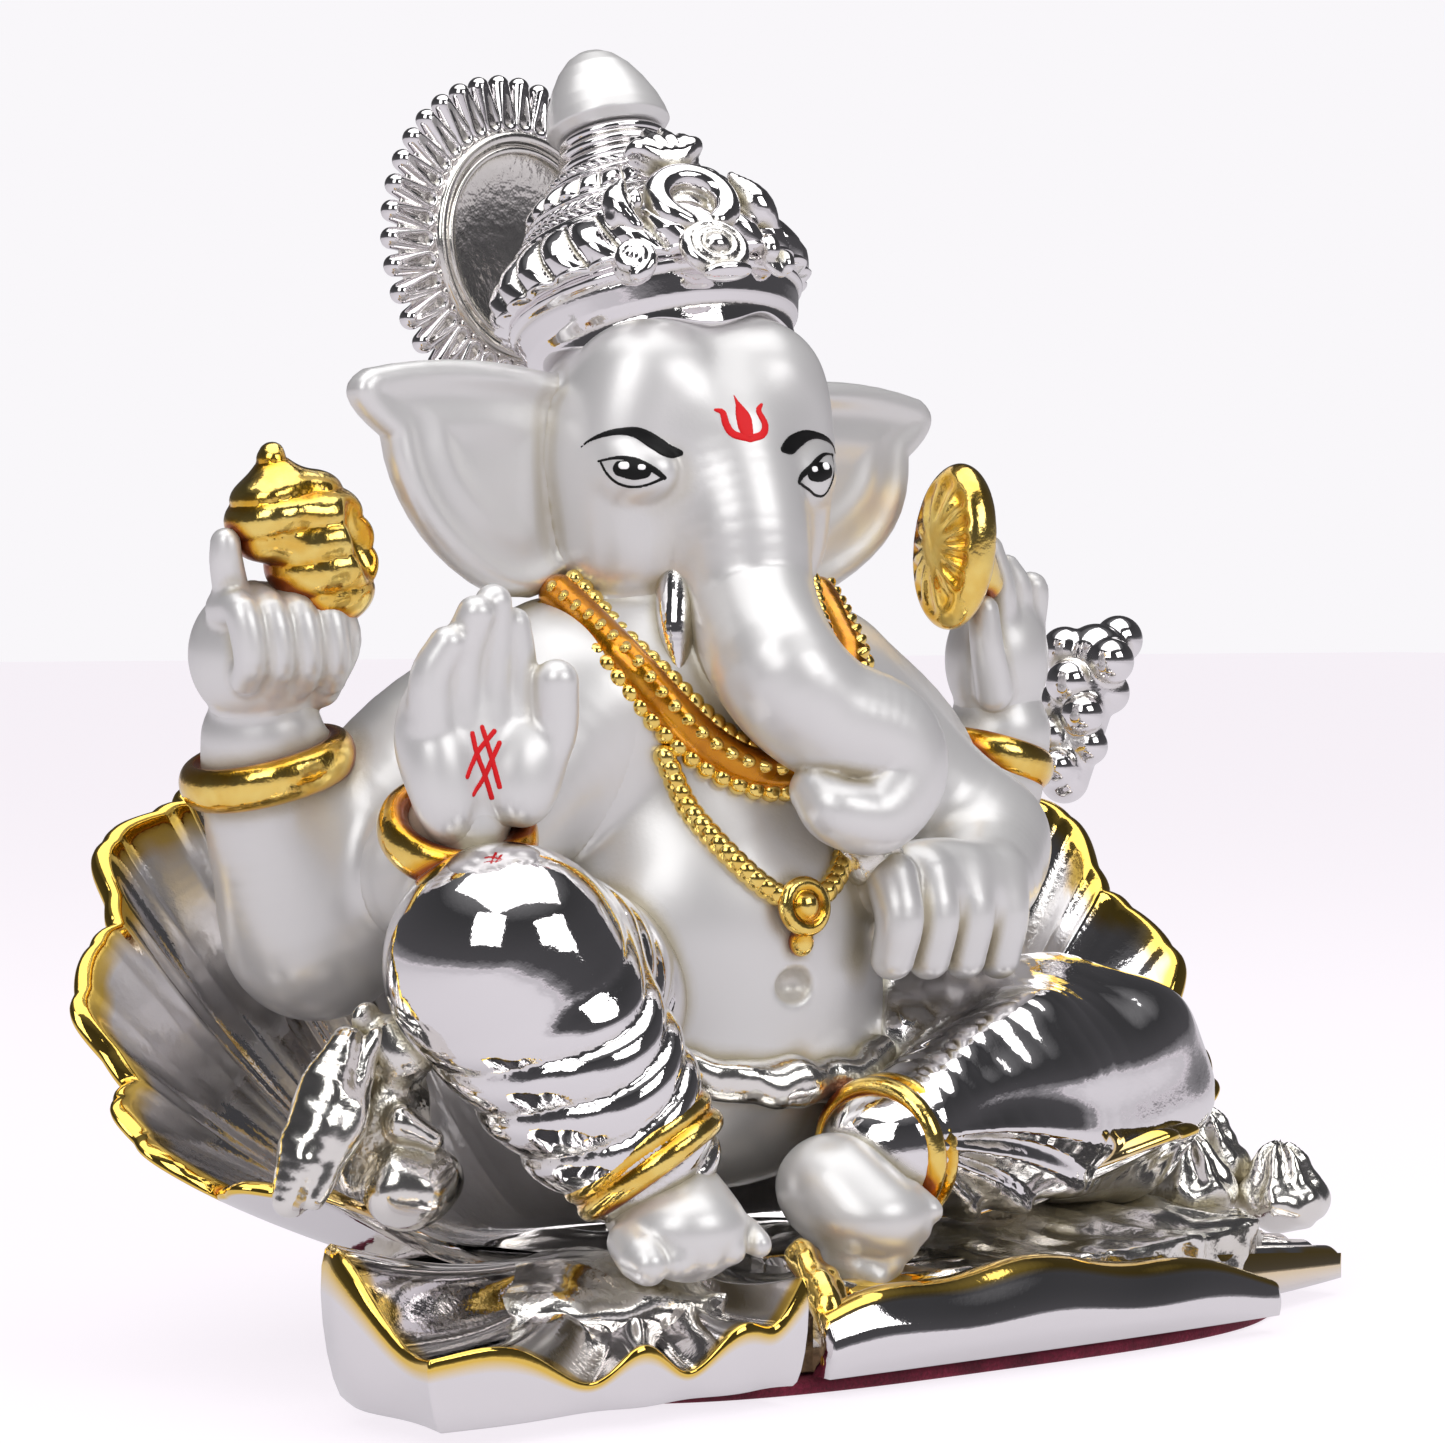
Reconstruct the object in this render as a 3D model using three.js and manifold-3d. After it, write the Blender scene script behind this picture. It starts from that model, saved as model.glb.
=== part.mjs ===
// Seated Ganesha idol: a cast and plated figure on a fluted shell seat, built as
// separate glued castings. Millimetres, +Z up. The figure faces -Y, its own right
// hand is on -X, and the origin is on the resting face, below the middle of the idol.
import * as THREE from "three";
import { mergeVertices } from "three/addons/utils/BufferGeometryUtils.js";
import Module from "manifold-3d";

const wasm = await Module();
wasm.setup();

// ---------------------------------------------------------------- driving sizes
const GAP = 0.4; // clearance between two glued pieces
const FLOOR_GAP = 0.3; // glue line between pad, board and castings
const FINENESS = 0.42; // share of the facets named below that round forms are built with
const SMOOTH_WITHIN = 0.1; // short edges that a cut leaves are merged within this distance

const PAD = { halfWidth: 52.5, halfDepth: 34.5, centreX: 11.5, centreY: -4, thickness: 1.4, corner: 3.2 };
const BOARD = { inset: 1.5, thickness: 2.2 };
const SEAT = { top: 12.5, inset: 5.5 };
const SHELL = {
  halfWidth: 63.5,
  centreX: -3.6,
  halfDepth: 32,
  backHeight: 60,
  tipHeight: 20,
  hubHeight: 8.5,
  wall: 3.2,
  flutes: 17,
  fluteDepth: 1.3,
  turn: THREE.MathUtils.degToRad(-10),
};
const FRONT_SHELL = { reach: 39, flutes: 13, fluteDepth: 0.8, rimLift: 1.2 };
const LEAF = { length: 58, height: 8.6, thickness: 4.5 };
const BELLY = { width: 20.5, depth: 18, height: 20.5 };
const CHEST = { width: 22, depth: 14, height: 16 };
const HEAD = { width: 18, depth: 14, height: 16.5, turn: THREE.MathUtils.degToRad(10) };
const EAR = { reach: 30, height: 25, thickness: 3.6 };
const TRUNK = { root: 8.6, tip: 3 };
const CROWN = { width: 18, depth: 15.5, lean: THREE.MathUtils.degToRad(20), facing: -0.3 };
const HALO = { radius: 20, ring: 13.4, thickness: 3.4, lobes: 19 };
const BANGLE = { rod: 1.6, clearRadius: 7.2 };
const ARM = { shoulder: 10.5, elbow: 9.2, wrist: 6.4 };
const CONCH = { length: 18, radius: 7 };
const DISC = { radius: 9.8, thickness: 4.6, knob: 2.1 };
const LEG = { thigh: 11.5, knee: 11.6, ankle: 8.2 };
const LAP_LEG = { knee: 12.8, ankle: 7.4 };
const HEM = { rod: 1.7 };

// ---------------------------------------------------------------- finishes
const finish = (color, roughness, metalness) =>
  new THREE.MeshStandardMaterial({ color, roughness, metalness });
const MIRROR_SILVER = finish("#d9d9dc", 0.06, 1);
const SATIN_SILVER = finish("#d9d8d6", 0.38, 0.85);
const GOLD_LACQUER = finish("#e0a21a", 0.14, 1);
const MAROON_VELVET = finish("#6b0f2e", 0.95, 0);
const FIBRE_BOARD = finish("#8a7355", 0.8, 0);

// ---------------------------------------------------------------- helpers
const v = (x, y, z) => new THREE.Vector3(x, y, z);
const Z_AXIS = v(0, 0, 1);

// Point p moved by (x, y, z).
const off = (p, x, y, z) => p.clone().add(v(x, y, z));

// Maps every vertex of a geometry with change(vertex).
function reshape(geometry, change) {
  const places = geometry.getAttribute("position");
  const p = new THREE.Vector3();
  for (let i = 0; i < places.count; i++) {
    p.fromBufferAttribute(places, i);
    change(p);
    places.setXYZ(i, p.x, p.y, p.z);
  }
  return geometry;
}

// A closed geometry as a manifold, each face moved outwards by grow.
function solid(geometry, grow) {
  const bare = geometry.clone();
  bare.deleteAttribute("normal");
  bare.deleteAttribute("uv");
  const merged = mergeVertices(bare, 1e-4);
  if (grow > 0) {
    merged.computeVertexNormals();
    const normals = merged.getAttribute("normal");
    const places = merged.getAttribute("position");
    for (let i = 0; i < places.count; i++) {
      places.setXYZ(
        i,
        places.getX(i) + grow * normals.getX(i),
        places.getY(i) + grow * normals.getY(i),
        places.getZ(i) + grow * normals.getZ(i),
      );
    }
  }
  return new wasm.Manifold(
    new wasm.Mesh({
      numProp: 3,
      vertProperties: new Float32Array(merged.getAttribute("position").array),
      triVerts: new Uint32Array(merged.index.array),
    }),
  );
}

// The facets of a round form that would have count of them at full fineness.
const facets = (count) => Math.max(5, Math.round(count * FINENESS));

// A round form with three radii, turned by Euler angles.
function blob(centre, radii, sides = 12, turn = [0, 0, 0]) {
  return new THREE.SphereGeometry(1, facets(sides), Math.max(4, Math.round(facets(sides) * 0.6)))
    .rotateX(Math.PI / 2)
    .scale(...radii)
    .applyMatrix4(new THREE.Matrix4().makeRotationFromEuler(new THREE.Euler(...turn)))
    .translate(centre.x, centre.y, centre.z);
}

// A round-ended limb through the points, with a radius at each of them.
function limb(points, radii, sides = 12, stepsPerSpan = 2) {
  const spans = points.length - 1;
  const steps = spans * stepsPerSpan;
  const path = points.length > 2 ? new THREE.CatmullRomCurve3(points) : new THREE.LineCurve3(...points);
  const frames = [];
  let side = Math.abs(path.getTangent(0).z) > 0.9 ? v(1, 0, 0) : v(0, 0, 1);
  for (let i = 0; i <= steps; i++) {
    const along = path.getTangent(i / steps);
    side = side.clone().addScaledVector(along, -side.dot(along)).normalize();
    const span = Math.min(Math.floor(i / stepsPerSpan), spans - 1);
    const share = i / stepsPerSpan - span;
    frames.push({
      at: path.getPoint(i / steps),
      along,
      side,
      up: along.clone().cross(side),
      radius: THREE.MathUtils.lerp(radii[span], radii[span + 1], share),
    });
  }
  const rod = new THREE.CapsuleGeometry(1, steps, 2, facets(sides), steps);
  return reshape(rod, (p) => {
    const y = THREE.MathUtils.clamp(p.y, -steps / 2, steps / 2);
    const f = frames[Math.round(y + steps / 2)];
    const beyond = p.y - y;
    const { x, z } = p;
    p.copy(f.at)
      .addScaledVector(f.along, beyond * f.radius)
      .addScaledVector(f.side, z * f.radius)
      .addScaledVector(f.up, x * f.radius);
  });
}

// Turns a geometry whose own axis is +Z onto another axis, then moves it.
function aim(geometry, centre, axis) {
  const turn = new THREE.Quaternion().setFromUnitVectors(Z_AXIS, axis.clone().normalize());
  return geometry.applyQuaternion(turn).translate(centre.x, centre.y, centre.z);
}

// A round bar bent to a ring.
const ring = (centre, axis, radius, rod, around = 22, sides = 8) =>
  aim(new THREE.TorusGeometry(radius, rod, Math.max(5, sides - 2), facets(around)), centre, axis);

// A turned form: profile is [radius, height] pairs that start and end on the axis.
function turned(profile, sides = 28) {
  return new THREE.LatheGeometry(
    profile.map(([r, h]) => new THREE.Vector2(r, h)),
    facets(sides),
  ).rotateX(Math.PI / 2);
}

// A closed plate: place(u, w, t) gives its point for u and w in 0..1 and t 0 (under) or 1 (upper).
function plate(across, along, place) {
  return reshape(new THREE.BoxGeometry(1, 1, 1, across, along, 1), (p) => {
    p.copy(place(p.x + 0.5, p.y + 0.5, p.z + 0.5));
  });
}

// Level outline of the pad, drawn in by inset: a rounded oblong.
function padOutline(inset) {
  const shape = new THREE.Shape();
  const steps = 44;
  const power = 2 / PAD.corner;
  for (let i = 0; i < steps; i++) {
    const a = (i / steps) * 2 * Math.PI;
    const c = Math.cos(a);
    const s = Math.sin(a);
    const x = PAD.centreX + Math.sign(c) * Math.abs(c) ** power * (PAD.halfWidth - inset);
    const y = PAD.centreY + Math.sign(s) * Math.abs(s) ** power * (PAD.halfDepth - inset);
    if (i === 0) shape.moveTo(x, y);
    else shape.lineTo(x, y);
  }
  return shape;
}

// A level slab from the pad outline, between two heights.
const slab = (inset, low, high) =>
  new THREE.ExtrudeGeometry(padOutline(inset), { depth: high - low, bevelEnabled: false }).translate(0, 0, low);

// ---------------------------------------------------------------- landmarks
const boardLow = PAD.thickness + FLOOR_GAP;
const boardHigh = boardLow + BOARD.thickness;
const castLow = boardHigh + FLOOR_GAP;

const belly = v(0, 0.5, SEAT.top + BELLY.height + 11);
const chest = off(belly, 0, 2.5, BELLY.height * 0.4 + CHEST.height * 0.8);
const neck = off(chest, 0, 3, CHEST.height - 3);
const headTurn = new THREE.Matrix4()
  .makeTranslation(neck)
  .multiply(new THREE.Matrix4().makeRotationZ(HEAD.turn));
// A point of the head's own frame: origin on the neck's axis, level with the chin.
const inHead = (x, y, z) => v(x, y, z).applyMatrix4(headTurn);

const shoulder = (side) => off(chest, side * CHEST.width * 0.8, 2, 4);
const elbowUp = { right: off(chest, -41, 11, -20), left: off(chest, 43, 10, -19) };
const wristUp = { right: off(elbowUp.right, -6.5, -1.5, 17), left: off(elbowUp.left, 7, 0, 15) };
const fistRight = off(wristUp.right, -2.5, -2.5, 12);
const fistLeft = off(wristUp.left, 0, -1, 13);
const elbowLow = { right: off(chest, -34, -5, -14), left: off(chest, 35, -6, -13) };

const kneeRight = v(-37.5, -18.5, SEAT.top + 30.5);
const ankleRight = off(kneeRight, 10, -8.5, -18);
// The blessing hand stands on the right knee.
const wristLow = { right: off(kneeRight, -1, 7.5, 13), left: off(elbowLow.left, -9, -11, -4) };
const palmRight = off(wristLow.right, 0.3, -2.2, 9.5);
const palmLeft = off(wristLow.left, -8, -3, -4);
const kneeLeft = v(48, -10, SEAT.top + 11);
const ankleLeft = off(kneeLeft, -41, -14, -2);

// ---------------------------------------------------------------- the assembly
const idol = new THREE.Group();
const made = [];

// The biggest body of a solid: what a cut leaves besides it is a sliver, not a piece.
const mainBody = (whole) =>
  whole.decompose().reduce((a, b) => (a.volume() > b.volume() ? a : b));

const boxesMeet = (a, b) =>
  [0, 1, 2].every((k) => a.min[k] <= b.max[k] && b.min[k] <= a.max[k]);

// Adds a piece made of closed forms, cut back from every piece already in place.
function add(name, material, forms) {
  const join = (grow) =>
    forms.map((g) => solid(g, grow)).reduce((a, b) => a.add(b)).simplify(SMOOTH_WITHIN);
  let body = join(0);
  for (const other of made) {
    if (boxesMeet(body.boundingBox(), other.grown.boundingBox())) body = body.subtract(other.grown);
  }
  body = mainBody(mainBody(body).simplify(SMOOTH_WITHIN));
  made.push({ name, grown: join(GAP) });
  const out = body.getMesh();
  const geometry = new THREE.BufferGeometry();
  geometry.setAttribute("position", new THREE.BufferAttribute(out.vertProperties, 3));
  geometry.setIndex(new THREE.BufferAttribute(out.triVerts, 1));
  geometry.computeVertexNormals();
  const mesh = new THREE.Mesh(geometry, material);
  mesh.name = name;
  idol.add(mesh);
}

// ---------------------------------------------------------------- crown and halo
const headUp = 18.5;
const crownTurn = headTurn
  .clone()
  .multiply(new THREE.Matrix4().makeTranslation(0, 1.8, headUp + HEAD.height * 0.68))
  .multiply(new THREE.Matrix4().makeRotationX(-CROWN.lean));
const flatten = CROWN.depth / CROWN.width;
// A turned tier of the crown, oval like its base.
const tier = (profile, sides) => turned(profile, sides).scale(1, flatten, 1).applyMatrix4(crownTurn);
const onCrown = (x, y, z) => v(x, y, z).applyMatrix4(crownTurn);

// Where the crown's own bowl is at a height up its axis.
const bowlRadius = (h) => CROWN.width * Math.sqrt(Math.max(0.1, 1 - ((h - 5) / 17) ** 2));

function crownOrnaments() {
  const front = (turn, height, lift) => {
    const r = bowlRadius(height) + lift;
    return onCrown(r * Math.sin(turn), -flatten * r * Math.cos(turn), height);
  };
  const facing = (turn, height) =>
    front(turn, height, 10).sub(front(turn, height, 0)).normalize();
  const ahead = CROWN.facing;
  add("crown_medallion", MIRROR_SILVER, [
    ring(front(ahead, 4.4, 1.4), facing(ahead, 4.4), 3, 0.9, 18),
    blob(front(ahead, 4.4, 1.2), [2.6, 1.8, 3], 12, [0, 0, HEAD.turn]),
  ]);
  add("crown_arch", MIRROR_SILVER, [
    ring(front(ahead, 10.6, 0.6), facing(ahead, 10.6), 3.6, 1.3, 18),
    blob(front(ahead, 11.4, -0.4), [3.6, 2.4, 3.4], 12),
  ]);
  add("crown_top_leaf", MIRROR_SILVER, [
    blob(front(ahead, 18, 1.8), [2.4, 2, 3.4], 12),
    blob(front(ahead - 0.28, 17, 0.6), [2.2, 1.8, 2.2], 10),
    blob(front(ahead + 0.28, 17, 0.6), [2.2, 1.8, 2.2], 10),
  ]);
  for (const [side, word] of [[-1, "right"], [1, "left"]]) {
    const turn = ahead + side * 0.5;
    add("crown_scroll_" + word, MIRROR_SILVER, [
      ring(front(turn, 4.2, 1), facing(turn, 4.2), 2.2, 0.9, 16),
      blob(front(turn, 4.2, 1), [1.5, 1.5, 1.5], 10),
    ]);
    add("crown_flame_" + word, MIRROR_SILVER, [
      limb([front(turn, 8.5, 0.8), front(turn + side * 0.06, 12, 0.6), front(turn - side * 0.1, 14.8, 0.8)],
        [1.6, 2.1, 0.8], 10, 3),
    ]);
  }
}
crownOrnaments();

add("crown_finial", SATIN_SILVER, [
  tier([[0, 25.6], [7.2, 25.6], [7.5, 26.4], [6.9, 28.6], [5.7, 31.6], [4.2, 34], [2.2, 35.3], [0, 35.6]], 20),
]);
add("crown_neck", MIRROR_SILVER, [
  tier([[0, 20.6], [7, 20.6], [7.6, 21.6], [6.6, 22.6], [7, 23.6], [6, 24.4], [6.4, 25.2], [0, 25.2]], 22),
]);
add("crown_tiers", MIRROR_SILVER, [
  tier([[0, 12.8], [14.2, 12.8], [14.6, 14], [12.6, 15.4], [12.8, 16.6], [10.6, 17.8], [10.6, 18.8],
    [8.6, 20.2], [0, 20.2]], 26),
]);
add("crown_bowl", MIRROR_SILVER, [
  tier([[0, 4.6], [18.4, 4.6], [18.6, 6.6], [17.9, 9], [16.4, 11.4], [14.6, 12.4], [0, 12.4]], 34),
]);
add("crown_band", MIRROR_SILVER, [
  tier([[0, -0.5], [16.4, -0.5], [17.6, 0.8], [18.1, 2.6], [17.9, 4.2], [0, 4.2]], 34),
]);

// The halo stands behind the crown: a dished disc inside a ring of round lobes.
const haloTurn = headTurn
  .clone()
  .multiply(new THREE.Matrix4().makeTranslation(0, 28, headUp + HEAD.height * 1.42))
  .multiply(new THREE.Matrix4().makeRotationX(THREE.MathUtils.degToRad(86)));
const lobes = reshape(
  turned([
    [HALO.ring + 0.3, 0.4], [HALO.ring + 3, -0.3], [HALO.radius - 1.2, 0.2], [HALO.radius, HALO.thickness / 2],
    [HALO.radius - 1.2, HALO.thickness - 0.2], [HALO.ring + 3, HALO.thickness + 0.3],
    [HALO.ring + 0.3, HALO.thickness], [HALO.ring + 0.3, 0.4],
  ], HALO.lobes * 4),
  (p) => {
    const a = Math.atan2(p.y, p.x);
    const r = Math.hypot(p.x, p.y);
    const out = (r - HALO.ring) / (HALO.radius - HALO.ring);
    const swell = 1 - 0.05 * out * (1 - Math.abs(Math.cos((a * HALO.lobes) / 2)));
    p.x *= swell;
    p.y *= swell;
  },
).applyMatrix4(haloTurn);
const haloDish = turned([
  [0, 0.5], [HALO.ring - 1.5, 0.2], [HALO.ring, 0.6], [HALO.ring, HALO.thickness],
  [HALO.ring - 1.6, HALO.thickness + 0.6], [HALO.ring - 3, HALO.thickness - 0.2], [0, HALO.thickness - 1.6],
], 38).applyMatrix4(haloTurn);
add("halo_lobes", MIRROR_SILVER, [lobes]);
add("halo_dish", MIRROR_SILVER, [haloDish]);

// ---------------------------------------------------------------- head
for (const [side, word] of [[-1, "right"], [1, "left"]]) {
  const path = [
    inHead(side * 7.6, -9.5, headUp - 12), inHead(side * 10, -11.5, headUp - 17),
    inHead(side * 10.8, -12.2, headUp - 21.5),
  ];
  add("tusk_" + word, MIRROR_SILVER, [limb(path, [2.4, 1.9, 0.8], 10, 3)]);
}
// The ear is a fan with a pointed upper corner, from the head's side outwards.
function earOutline(side) {
  const { reach, height } = EAR;
  const root = side * HEAD.width * 0.74;
  const out = (share) => root + side * share * reach;
  const shape = new THREE.Shape();
  shape.moveTo(root, -0.42 * height);
  shape.lineTo(root, 0.36 * height);
  shape.quadraticCurveTo(out(0.5), 0.48 * height, out(0.96), 0.36 * height);
  shape.quadraticCurveTo(out(1.12), 0.26 * height, out(0.88), 0.08 * height);
  shape.quadraticCurveTo(out(0.86), -0.3 * height, out(0.48), -0.52 * height);
  shape.quadraticCurveTo(out(0.2), -0.68 * height, root, -0.42 * height);
  return shape;
}
for (const [side, word] of [[-1, "right"], [1, "left"]]) {
  const fan = new THREE.ExtrudeGeometry(earOutline(side), {
    depth: EAR.thickness,
    bevelEnabled: false,
    curveSegments: 4,
  });
  fan.rotateX(Math.PI / 2).translate(0, EAR.thickness + 1, headUp - 2).applyMatrix4(headTurn);
  add("ear_" + word, SATIN_SILVER, [fan]);
}

// ---------------------------------------------------------------- attributes in the upper hands
const conchTop = off(fistRight, -0.5, -4, CONCH.length + 2.6);
add("conch", GOLD_LACQUER, [
  blob(off(fistRight, 4.6, -4.5, 11), [CONCH.radius * 0.86, CONCH.radius * 0.8, CONCH.length * 0.5],
    14, [0, -0.32, 0]),
  blob(off(fistRight, -1.2, -4.4, 14), [CONCH.radius * 0.62, CONCH.radius * 0.7, CONCH.radius * 0.72]),
  limb([off(fistRight, 0.6, -4.2, 15), conchTop], [4.4, 1.3], 12, 3),
]);
const discCentre = off(fistLeft, -11, -6, 12);
add("gold_disc", GOLD_LACQUER, [
  blob(discCentre, [DISC.thickness * 0.9, DISC.radius * 0.62, DISC.radius], 18, [0, 0, 0.1]),
  blob(off(discCentre, 6.4, 2, 3.6), [DISC.knob, DISC.knob, DISC.knob], 10),
  limb([off(discCentre, 2, 0, -1), off(discCentre, 6, 2, -4)], [3.4, 2.4], 10, 2),
]);

// ---------------------------------------------------------------- hands
// A finger from its knuckle to its tip.
const finger = (from, to, radius, bow = [0, 0, 0]) =>
  limb([from, from.clone().lerp(to, 0.5).add(v(...bow)), to], [radius, radius * 0.96, radius * 0.8], 8, 2);

const along = (from, to, share) => from.clone().lerp(to, share);

function openHand() {
  const forms = [blob(palmRight, [8, 4, 8.6], 16, [-0.12, 0, -0.12])];
  for (let i = 0; i < 4; i++) {
    const root = off(palmRight, -5.4 + i * 3.4, -0.6 - i * 0.25, 4);
    const tip = off(palmRight, -4.2 + i * 2.6, -1.6 - i * 0.25, [10, 13.2, 13.6, 12.4][i]);
    forms.push(finger(root, tip, 2));
  }
  forms.push(finger(off(palmRight, 5.6, -1.6, -4), off(palmRight, 7, -4.4, 6.2), 2.4, [1.2, -0.6, 0]));
  return forms;
}
add("hand_lower_right", SATIN_SILVER, openHand());

function fistForms(centre, side) {
  const forms = [blob(centre, [8, 7, 7.6], 16)];
  for (let i = 0; i < 4; i++) {
    const root = off(centre, -5.4 + i * 3.4, -2.2, 6.6 - Math.abs(i - 1.5));
    const tip = off(centre, -5 + i * 3.2, -6.6, -0.8);
    forms.push(finger(root, tip, 1.9, [0, -3.2, 1.6]));
  }
  forms.push(finger(off(centre, side * 6, -3, -3), off(centre, side * 4.5, -5.5, 6), 2.2, [side * 1.2, -1, 0]));
  return forms;
}
add("hand_upper_right", SATIN_SILVER, fistForms(fistRight, 1));

function pinchHand() {
  const forms = [blob(off(fistLeft, 0.4, 0, -1), [6.6, 6, 8.4], 16)];
  for (let i = 0; i < 3; i++) {
    const root = off(fistLeft, -1.2 + i * 3, -2.6 + i, 2);
    const tip = off(fistLeft, -3.4 + i * 3.4, -3 + i, 11.6 - i * 2.2);
    forms.push(finger(root, tip, 1.9));
  }
  forms.push(finger(off(fistLeft, -4, -4.4, -4), off(fistLeft, -6, -5.4, 4.6), 2));
  return forms;
}
add("hand_upper_left", SATIN_SILVER, pinchHand());

function lapHand() {
  const forms = [blob(off(palmLeft, 1.4, 1, 2.4), [10.4, 4.6, 5.4], 16, [0, 0, 0.14])];
  for (let i = 0; i < 4; i++) {
    const x = -7 + i * 4.6;
    const root = off(palmLeft, x, -1.6 + i * 0.7, 3.4);
    const tip = off(palmLeft, x - 0.6, -1.2 + i * 0.7, -6.4 + i * 0.5);
    forms.push(finger(root, tip, 2.3, [0, -1, 0]));
  }
  return forms;
}
add("sweet_in_hand", SATIN_SILVER, [blob(off(palmLeft, -7.4, 1.6, 8.6), [4.2, 3.8, 3.8], 12)]);
add("hand_lower_left", SATIN_SILVER, lapHand());

// The bud cluster hangs behind the upper left hand.
function budForms() {
  const top = off(fistLeft, 20, 6, -1);
  const forms = [limb([top, off(top, -5, 0, -15)], [4, 3], 10, 2)];
  const turn = Math.PI * (3 - Math.sqrt(5));
  for (let i = 0; i < 11; i++) {
    const drop = (i / 10) * 15;
    const out = 3.6 - 0.1 * i;
    const bud = off(top, -drop / 3 + out * Math.cos(i * turn), out * Math.sin(i * turn), 2 - drop);
    forms.push(blob(bud, [2.3, 2.3, 2.3], 8));
  }
  return forms;
}
add("bud_cluster", MIRROR_SILVER, budForms());

// ---------------------------------------------------------------- necklace
// A point on the skin of the chest and belly, near the front.
function onFront(x, z, lift) {
  const reach = (c, size) => {
    const inside = 1 - ((x - c.x) / size.width) ** 2 - ((z - c.z) / size.height) ** 2;
    return inside > 0 ? c.y - size.depth * Math.sqrt(inside) : 99;
  };
  return v(x, Math.min(reach(belly, BELLY), reach(chest, CHEST), 2) - lift, z);
}
const pendantZ = belly.z + 3.4;
add("pendant", GOLD_LACQUER, [
  blob(onFront(-0.5, pendantZ, 0.8), [2.7, 2.2, 2.7], 14),
  blob(onFront(-0.5, pendantZ - 3.4, 0.2), [1.3, 1.2, 1.4], 8),
]);
// A chain or rope laid on the chest, from x = -half to x = half, sagging by drop.
function laid(half, top, drop, radius, lift) {
  const points = [];
  for (let i = 0; i <= 8; i++) {
    const x = -half + (i / 8) * 2 * half;
    points.push(onFront(x, top - drop * (1 - (x / half) ** 2) ** 0.8, lift));
  }
  return limb(points, points.map(() => radius), 8, 2);
}
add("necklace_chain", GOLD_LACQUER, [laid(14, chest.z + 2.5, chest.z - pendantZ - 0.4, 1.1, 0.2)]);
add("necklace_rope", GOLD_LACQUER, [laid(17.5, chest.z + 13.5, 16.5, 2.6, 0.8)]);

// ---------------------------------------------------------------- head and trunk
const trunkPath = [
  inHead(0, -9, headUp - 1), inHead(0, -12.8, headUp - 9), inHead(0, -15, headUp - 17),
  off(neck, 3.2, -21.5, headUp - 26.5), off(neck, 8.8, -26, headUp - 32), off(neck, 12.4, -27, headUp - 37.5),
  off(neck, 9.2, -28, headUp - 42), off(neck, 3.4, -28, headUp - 42.4), off(neck, 1, -26.8, headUp - 39.6),
];
add("head", SATIN_SILVER, [
  blob(inHead(0, 0, headUp), [HEAD.width, HEAD.depth, HEAD.height], 22),
  blob(inHead(0, -1.5, headUp - 10), [HEAD.width * 0.76, HEAD.depth * 0.86, HEAD.height * 0.7], 18),
  limb(trunkPath, [TRUNK.root, 7.8, 7, 6.6, 6.2, 5.6, 4.8, 3.8, TRUNK.tip], 14, 2),
  limb([inHead(4, -7, headUp - 16), inHead(3, -11, headUp - 22)], [5.6, 3.4], 12, 2),
]);

// ---------------------------------------------------------------- bangles and arms
const bangle = (centre, axis, radius) => ring(centre, axis, radius, BANGLE.rod, 24, 8);
add("bangle_upper_right", GOLD_LACQUER, [bangle(wristUp.right, v(-0.3, -0.05, 1), BANGLE.clearRadius + 0.6)]);
add("bangle_upper_left", GOLD_LACQUER, [bangle(wristUp.left, v(0.3, 0, 1), BANGLE.clearRadius - 1.2)]);
add("bangle_lower_right", GOLD_LACQUER, [bangle(wristLow.right, v(-0.15, -0.5, 0.8), BANGLE.clearRadius - 0.6)]);

const arms = { right: -1, left: 1 };
for (const [word, side] of Object.entries(arms)) {
  const top = shoulder(side);
  add("arm_upper_" + word, SATIN_SILVER, [
    limb([top, along(top, elbowUp[word], 0.5).add(v(side * 2, 0, 3)), elbowUp[word]],
      [ARM.shoulder, ARM.shoulder - 0.5, ARM.elbow], 14, 3),
    limb([elbowUp[word], wristUp[word], off(wristUp[word], side * 0.8, -0.6, 3)],
      [ARM.elbow, ARM.wrist + 0.6, ARM.wrist], 14, 3),
  ]);
  add("arm_lower_" + word, SATIN_SILVER, [
    limb([off(top, -side * 2, -3, -2), elbowLow[word]], [ARM.shoulder - 1, ARM.elbow - 1.4], 14, 3),
    limb([elbowLow[word], wristLow[word]], [ARM.elbow - 1.6, ARM.wrist - 1], 14, 3),
  ]);
}

// ---------------------------------------------------------------- legs
function footForms(heel, toe, across, toes) {
  const forms = [
    blob(heel, [6, 6.4, 5], 14),
    blob(heel.clone().lerp(toe, 0.55), [7, 6.6, 4.4], 14),
  ];
  for (let i = 0; i < toes; i++) {
    const share = i / (toes - 1) - 0.5;
    const size = 2.3 - 0.28 * i;
    forms.push(blob(toe.clone().addScaledVector(across, -share * 2), [size, size * 1.25, size * 0.95], 8));
  }
  return forms;
}
const feet = {
  right: { heel: off(ankleRight, 2.2, -1.5, -5.6), toe: off(ankleRight, 1.4, -9.2, -9.4), across: v(-6, 1.4, -0.3) },
  left: { heel: off(ankleLeft, -12, -2.4, -1.4), toe: off(ankleLeft, -3.8, -8.6, -9), across: v(-3.4, 1, -3.4) },
};
for (const [word, { heel, toe, across }] of Object.entries(feet)) {
  add("foot_" + word, SATIN_SILVER, footForms(heel, toe, across, 5));
}
const shinRight = ankleRight.clone().sub(kneeRight);
const shinLeft = ankleLeft.clone().sub(kneeLeft);
add("hem_right", GOLD_LACQUER, [ring(off(ankleRight, 0.6, -0.6, -1), shinRight, LEG.ankle - 0.6, HEM.rod, 24, 8)]);
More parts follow.
